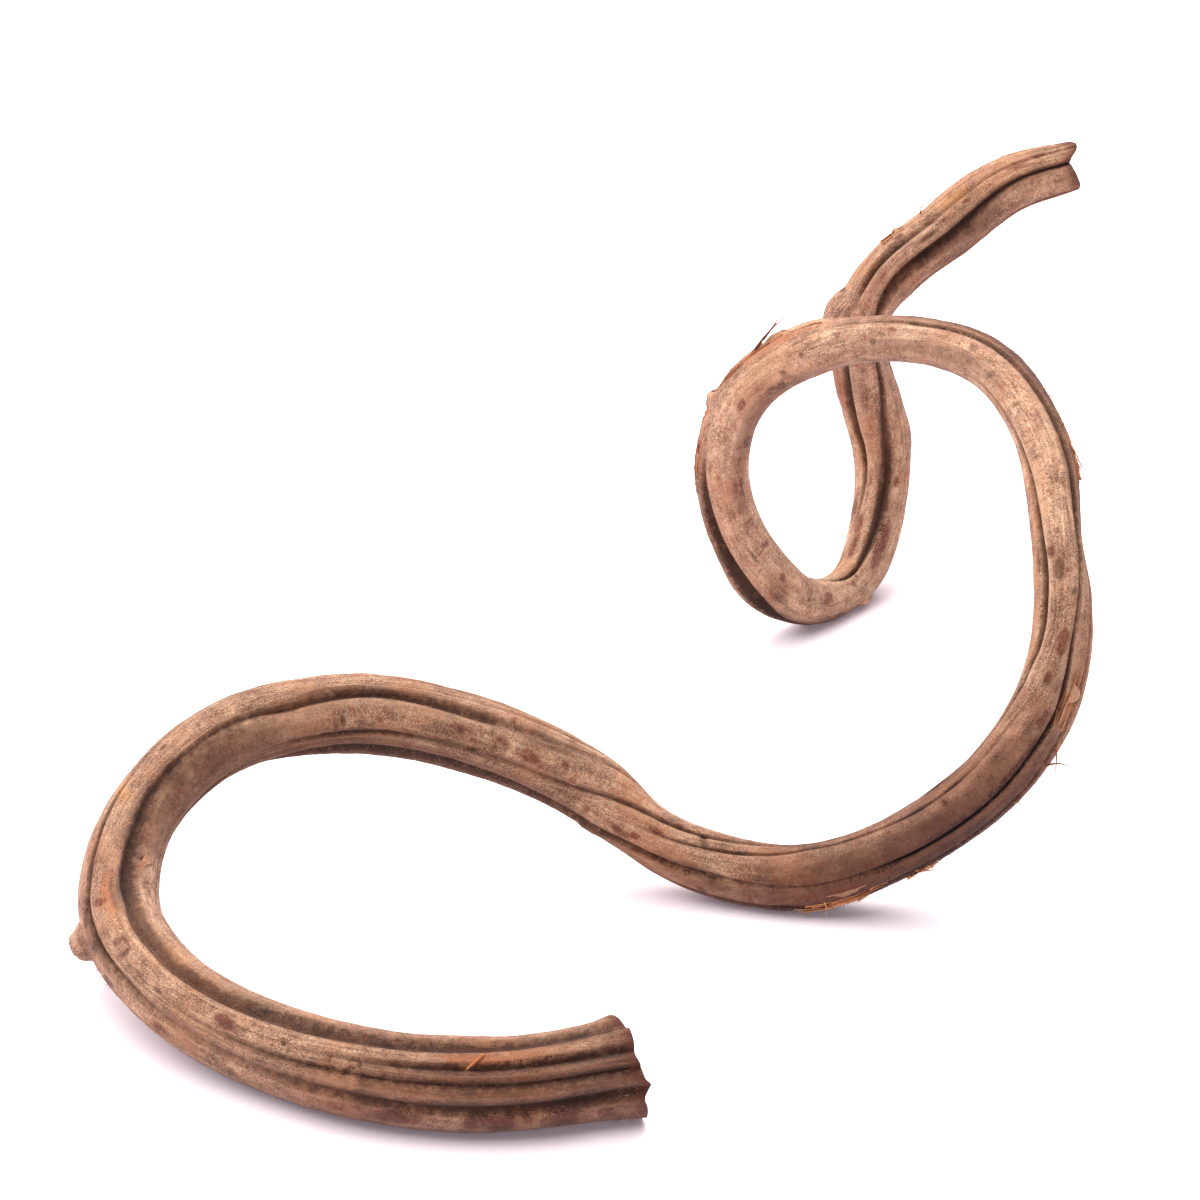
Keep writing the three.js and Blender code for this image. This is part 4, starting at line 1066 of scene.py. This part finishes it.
# Paler crests of the ribs: partly wear, partly painted highlight.
WORN_AND_LIT_CREST = rgb(222, 180, 150)
WARM_TINT = rgb(192, 130, 90)
BARE_WOOD = rgb(188, 108, 64)
YELLOW_SKIN = rgb(212, 150, 90)
TORN_TONES = (rgb(104, 54, 36), rgb(170, 100, 62), rgb(204, 146, 102))
LOOSE_TONES = (rgb(104, 72, 58), rgb(160, 118, 94), rgb(200, 156, 128))
FUZZ_TONES = (rgb(110, 76, 60), rgb(190, 148, 120))

# Stains and painted shade, as what they leave of the bark's own colour.
RUSTY_FLECK = (0.78, 0.5, 0.42)
GREY_FLECK = (0.66, 0.64, 0.68)
# Painted shade of the dim patches, in part darker bark.
DIM_SHADE_AND_STAIN = (0.48, 0.4, 0.37)
RED_STAIN = (0.31, 0.12, 0.1)
DARK_STAIN = (0.3, 0.22, 0.18)
PURPLE_STAIN = (0.72, 0.6, 0.64)
# Painted shade on the side of the stem that faces down.
PAINTED_UNDER_SHADE = (0.5, 0.46, 0.46)
# Warmer tint where the bark is darkened by length, which is partly painted shade.
DARKENED_TINT = (1.0, 0.84, 0.8)
# Painted shade in the furrows, deepest at their beds.
PAINTED_FURROW_SHADE = (0.29, 0.22, 0.185)

# Noise in the bark's colour: cells to the millimetre, detail, roughness.
SPECKLE = (2.4, 2.0, 0.75)
CLUMP = (0.4, 3.0, 0.6)
MOTTLE = (0.13, 3.0, 0.6)
DRIFT = (0.05, 2.0)

# Noise drawn out along the fibres: cells to the millimetre along and across them, detail.
FLECK = ((0.5, 1.0, 1.0), 2.0, 0.6)
FIBRE = ((0.09, 1.5, 1.5), 3.0, 0.6)
STREAK = ((0.02, 0.35, 0.35), 2.0)

# Shares of the noises in the bark's tone and in the raggedness of its marks.
SPECKLE_TONE, CLUMP_TONE, MOTTLE_TONE = 0.46, 0.14, 0.2
FIBRE_TONE, STREAK_TONE, TONE_SHIFT = 0.24, 0.1, -0.07
CLUMP_RAGGED, SPECKLE_RAGGED, FIBRE_RAGGED, RAGGED_SHIFT = 2.6, 2.4, 1.8, -3.3

# Places in the tone where the bark's colours sit.
DARK_TONE, MIDDLE_TONE, LIGHT_TONE, PALEST_TONE = 0.405, 0.49, 0.575, 0.65

# Soft steps: from, to, and where they aren't 0 and 1, the values there.
RUSTY_STEP = (0.56, 0.66, 0.0, 0.75)
GREY_STEP = (0.44, 0.34, 0.0, 0.75)
PAINT_EDGE = (0.2, 1.0, 0.0, 0.6)
STAIN_EDGE = (0.15, 0.7)
MARK_FADE = (0.04, 0.4)
BROKEN_MARK = (0.4, 0.56, 0.35, 1.0)
WARM_PATCH = (0.46, 0.66, 0.0, 0.4)
PURPLE_STREAK = (0.52, 0.66, 0.0, 0.6)
# Steps of the darkening by length, which is partly painted shade, of the painted shade on the
# underside and of the painted shade in the furrows.
DARKENED_STEP = (0.85, 0.5)
UNDER_SIDE = (0.1, 0.9)
OPEN_BARK = (0.0, 0.2)
HOLLOW_EDGE = (0.05, 0.9)
CUT_EDGE_STAIN = (0.5, 0.9, 0.0, 0.8)

# How strongly the crests are paled, by wear and painted highlight, and how ragged the painted shade
# of the hollows and the cut edges look.
CREST_WORN_AND_LIT = 0.4
HOLLOW_RAGGED = 0.6
EDGE_RAGGED = 0.12

# Lengths over which the paler loop begins and ends, and what the tone gains
# there and at the marks of wear, which are in part painted highlight.
LOOP_START = (520.0, 600.0)
LOOP_END = (870.0, 930.0)
LOOP_PALER = 0.03
WORN_AND_LIT_PALER = 0.045

# The wood of the cut ends: colours, pores to the millimetre, noise, soft steps.
CUT_WOOD = rgb(150, 104, 74)
CUT_PORE = rgb(70, 40, 28)
CUT_RIM = rgb(92, 42, 28)
PORES_TO_MM = 1.1
CUT_FIBRE = (0.7, 3.0, 0.7)
PORE_EDGE = (0.12, 0.3, 1.0, 0.0)
WOOD_STREAK = (0.35, 0.65, 0.55, 0.0)
CORE_EDGE = (0.8, 0.93)

# Loose fibres and flakes: noise, shares of their own tone and of the noise, and the places
# of the first and the last colour.
LOOSE_NOISE = (0.9, 3.0, 0.6)
OWN_TONE, NOISE_TONE, LOOSE_SHIFT = 0.7, 0.6, -0.15
LOOSE_RAMP = (0.15, 0.85)


def object_millimetres(shader):
    place = shader.node("ShaderNodeTexCoord").outputs["Object"]
    return shader.node(
        "ShaderNodeVectorMath", {0: place, "Scale": 1 / MM}, operation="SCALE"
    ).outputs[0]


def bark_colour(shader, place):
    """Speckled velvety bark with furrows, fibres and the marks stored on the mesh, with painted
    shade in the furrows, on the side facing down and, in part, on the low parts, and crests paled
    partly by wear and partly by painted highlight.
    """
    grain = shader.node("ShaderNodeAttribute", attribute_name="grain").outputs["Vector"]
    speckle, clump, mottle = (shader.noise(place, *n) for n in (SPECKLE, CLUMP, MOTTLE))
    fleck, fibre, streak = (shader.drawn_noise(grain, *n) for n in (FLECK, FIBRE, STREAK))
    drift = shader.noise(place, *DRIFT)
    length = shader.node("ShaderNodeSeparateXYZ", {"Vector": grain}).outputs["X"]
    upper = shader.step(length, *LOOP_START)
    upper = shader.sum("MULTIPLY", upper, shader.step(length, *LOOP_END, 1.0, 0.0))
    tone = shader.weighted(
        (speckle, SPECKLE_TONE), (clump, CLUMP_TONE), (mottle, MOTTLE_TONE),
        (fibre, FIBRE_TONE), (streak, STREAK_TONE), (upper, LOOP_PALER),
        (shader.number("worn_and_lit"), WORN_AND_LIT_PALER), (1.0, TONE_SHIFT),
    )
    colour = shader.ramp(tone, [
        (DARK_TONE, BARK_DARK), (MIDDLE_TONE, BARK_MIDDLE),
        (LIGHT_TONE, BARK_LIGHT), (PALEST_TONE, BARK_PALEST),
    ])
    for edge, tint in ((RUSTY_STEP, RUSTY_FLECK), (GREY_STEP, GREY_FLECK)):
        colour = shader.blend(shader.step(fleck, *edge), colour, tint, "MULTIPLY")
    warm = shader.step(drift, *WARM_PATCH)
    colour = shader.blend(warm, colour, WARM_TINT)
    # Paler crests beside deep furrows: partly wear, partly painted highlight.
    crest = shader.sum("MULTIPLY", shader.number("crest"), CREST_WORN_AND_LIT)
    colour = shader.blend(crest, colour, WORN_AND_LIT_CREST)
    ragged = shader.weighted(
        (clump, CLUMP_RAGGED), (speckle, SPECKLE_RAGGED), (fibre, FIBRE_RAGGED),
        (1.0, RAGGED_SHIFT),
    )
    for name, paint in (("pale", YELLOW_SKIN), ("bare", BARE_WOOD)):
        colour = shader.blend(shader.mark(name, ragged, PAINT_EDGE), colour, paint)
    broken = shader.step(speckle, *BROKEN_MARK)
    # Dim patches are painted shade, in part darker bark; red and dark stains are the bark's own.
    for name, paint in (("dim", DIM_SHADE_AND_STAIN), ("red", RED_STAIN), ("stain", DARK_STAIN)):
        mask = shader.sum("MULTIPLY", shader.mark(name, ragged, STAIN_EDGE), broken)
        colour = shader.blend(mask, colour, paint, "MULTIPLY")
    purple = shader.step(streak, *PURPLE_STREAK)
    colour = shader.blend(purple, colour, PURPLE_STAIN, "MULTIPLY")
    # Darkening by length, in part weathering and in part painted shade near the floor, warmed where
    # it is deep.
    colour = shader.blend(1.0, colour, shader.number("weather_and_shade"), "MULTIPLY")
    darkened = shader.step(shader.number("weather_and_shade"), *DARKENED_STEP)
    colour = shader.blend(darkened, colour, DARKENED_TINT, "MULTIPLY")
    # Painted shade on the side that faces down.
    under = shader.step(shader.number("under"), *UNDER_SIDE)
    colour = shader.blend(under, colour, PAINTED_UNDER_SHADE, "MULTIPLY")
    # Painted shade in the furrows, by their depth, with a ragged edge.
    hollow = shader.sum("MULTIPLY_ADD", ragged, HOLLOW_RAGGED, shader.number("hollow"))
    open_bark = shader.step(shader.number("hollow"), *OPEN_BARK)
    hollow = shader.sum("MULTIPLY", shader.step(hollow, *HOLLOW_EDGE), open_bark)
    colour = shader.blend(hollow, colour, PAINTED_FURROW_SHADE, "MULTIPLY")
    edge = shader.sum("MULTIPLY_ADD", ragged, EDGE_RAGGED, shader.number("edge"))
    colour = shader.blend(shader.step(edge, *CUT_EDGE_STAIN), colour, CUT_RIM)
    return colour, speckle, fibre


def cut_colour(shader, place):
    """Torn end wood: pale fibres with pores and a darker rim under the bark."""
    pores = shader.node(
        "ShaderNodeTexVoronoi", {"Vector": place, "Scale": PORES_TO_MM, "Randomness": 1.0}
    ).outputs["Distance"]
    wood = shader.blend(shader.step(pores, *PORE_EDGE), CUT_WOOD, CUT_PORE)
    fibre = shader.noise(place, *CUT_FIBRE)
    wood = shader.blend(shader.step(fibre, *WOOD_STREAK), wood, CUT_PORE)
    return shader.blend(shader.step(shader.number("core"), *CORE_EDGE), wood, CUT_RIM)


def bark_material():
    shader = Shader("bark")
    place = object_millimetres(shader)
    colour, speckle, fibre = bark_colour(shader, place)
    colour = shader.blend(shader.number("cut"), colour, cut_colour(shader, place))
    height = shader.sum("ADD", speckle, shader.sum("MULTIPLY", fibre, 0.8))
    bump = shader.node("ShaderNodeBump", {"Height": height, "Strength": 0.9, "Distance": 0.0006})
    return shader.finish(
        **{"Base Color": colour, "Roughness": 0.95, "Normal": bump.outputs[0],
           "Specular IOR Level": 0.15, "Sheen Weight": 0.12, "Sheen Roughness": 0.6}
    )


def fibre_material(name, tones):
    """Loose fibres and flakes: dry torn bark, each piece of it in a tone of its own."""
    shader = Shader(name)
    place = object_millimetres(shader)
    streak = shader.noise(place, *LOOSE_NOISE)
    own = shader.number("tone")
    mixed = shader.weighted((own, OWN_TONE), (streak, NOISE_TONE), (1.0, LOOSE_SHIFT))
    places = np.linspace(*LOOSE_RAMP, len(tones))
    colour = shader.ramp(mixed, list(zip(places.tolist(), tones)))
    bump = shader.node("ShaderNodeBump", {"Height": streak, "Strength": 0.5, "Distance": 0.0003})
    return shader.finish(
        **{"Base Color": colour, "Roughness": 0.85, "Normal": bump.outputs[0],
           "Specular IOR Level": 0.2}
    )


def dress(piece, material):
    piece.data.materials.append(material)
    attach(piece, "root")
    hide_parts("liana")


# Floor, light and camera.
FLOOR_REACH = 8.0
FLOOR_COLOUR = (0.97, 0.885, 0.94)
FLOOR_GLOW = (0.13, 0.105, 0.125)
SKY_STRENGTH = 0.28
OVERHEAD_POWER = 5.3
OVERHEAD_SPREAD = 95
OVERHEAD_TILT = 23
OVERHEAD_TURN = 228
OVERHEAD_COLOUR = (1.0, 0.985, 0.96)
SOFTBOX = [-0.05, 0.35, 0.8]
SOFTBOX_AIM = [0.1, 0.1, 0.1]
SOFTBOX_POWER = 5.0
SOFTBOX_SIZE = 0.6
CAMERA_SENSOR = 36.0
CAMERA_LENS = 118.8
CAMERA_SIGHT = 40.0
CAMERA_DOWN = 27.0
CAMERA_DISTANCE = 1.32
CAMERA_TARGET = np.array([0.0, 142.0, 0.0])


def build_floor():
    mesh = bpy.data.meshes.new("floor")
    turns = ((-1, -1), (1, -1), (1, 1), (-1, 1))
    corners = [(x * FLOOR_REACH, y * FLOOR_REACH, 0) for x, y in turns]
    mesh.from_pydata(corners, [], [(0, 1, 2, 3)])
    floor = placed("floor", mesh)
    shader = Shader("floor")
    material = shader.finish(
        **{"Base Color": (*FLOOR_COLOUR, 1.0), "Roughness": 1.0, "Specular IOR Level": 0.0,
           "Emission Color": (*FLOOR_GLOW, 1.0), "Emission Strength": 1.0}
    )
    mesh.materials.append(material)


def build_light():
    world = bpy.data.worlds.new("studio")
    world.use_nodes = True
    sky = world.node_tree.nodes["Background"]
    sky.inputs["Color"].default_value = (1, 1, 1, 1)
    sky.inputs["Strength"].default_value = SKY_STRENGTH
    bpy.context.scene.world = world
    lamp = bpy.data.lights.new("overhead", "SUN")
    lamp.energy = OVERHEAD_POWER
    lamp.angle = math.radians(OVERHEAD_SPREAD)
    lamp.color = OVERHEAD_COLOUR
    turns = (math.radians(OVERHEAD_TILT), 0, math.radians(OVERHEAD_TURN))
    placed("overhead", lamp).rotation_euler = turns
    lamp = bpy.data.lights.new("softbox", "AREA")
    lamp.shape = "DISK"
    lamp.size = SOFTBOX_SIZE
    lamp.energy = SOFTBOX_POWER
    holder = placed("softbox", lamp)
    holder.location = SOFTBOX
    aim = Vector(SOFTBOX_AIM) - Vector(SOFTBOX)
    holder.rotation_euler = aim.to_track_quat("-Z", "Y").to_euler()


def build_camera():
    """The photo's view: 27 degrees down on the stem, from 1.32 m."""
    camera = bpy.data.cameras.new("camera")
    camera.sensor_width = CAMERA_SENSOR
    camera.lens = CAMERA_LENS
    camera.clip_end = CAMERA_SIGHT
    holder = placed("camera", camera)
    down = math.radians(CAMERA_DOWN)
    target = (CAMERA_TARGET - MIDDLE) * MM
    away = np.array([0, -math.cos(down), math.sin(down)]) * CAMERA_DISTANCE
    holder.location = target + away
    holder.rotation_euler = (math.pi / 2 - down, 0, 0)
    bpy.context.scene.camera = holder


build_camera()
build_light()
build_floor()
bark = bark_material()
torn = fibre_material("torn_bark", TORN_TONES)
skin = fibre_material("loose_bark", LOOSE_TONES)
fluff = fibre_material("fluff", FUZZ_TONES)
dress(build_stem(), bark)
dress(build_fibres(), torn)
dress(build_strands(), torn)
dress(build_flakes(), skin)
dress(build_fuzz(), fluff)
bpy.context.scene.view_settings.view_transform = "Standard"

bpy.context.view_layer.update()
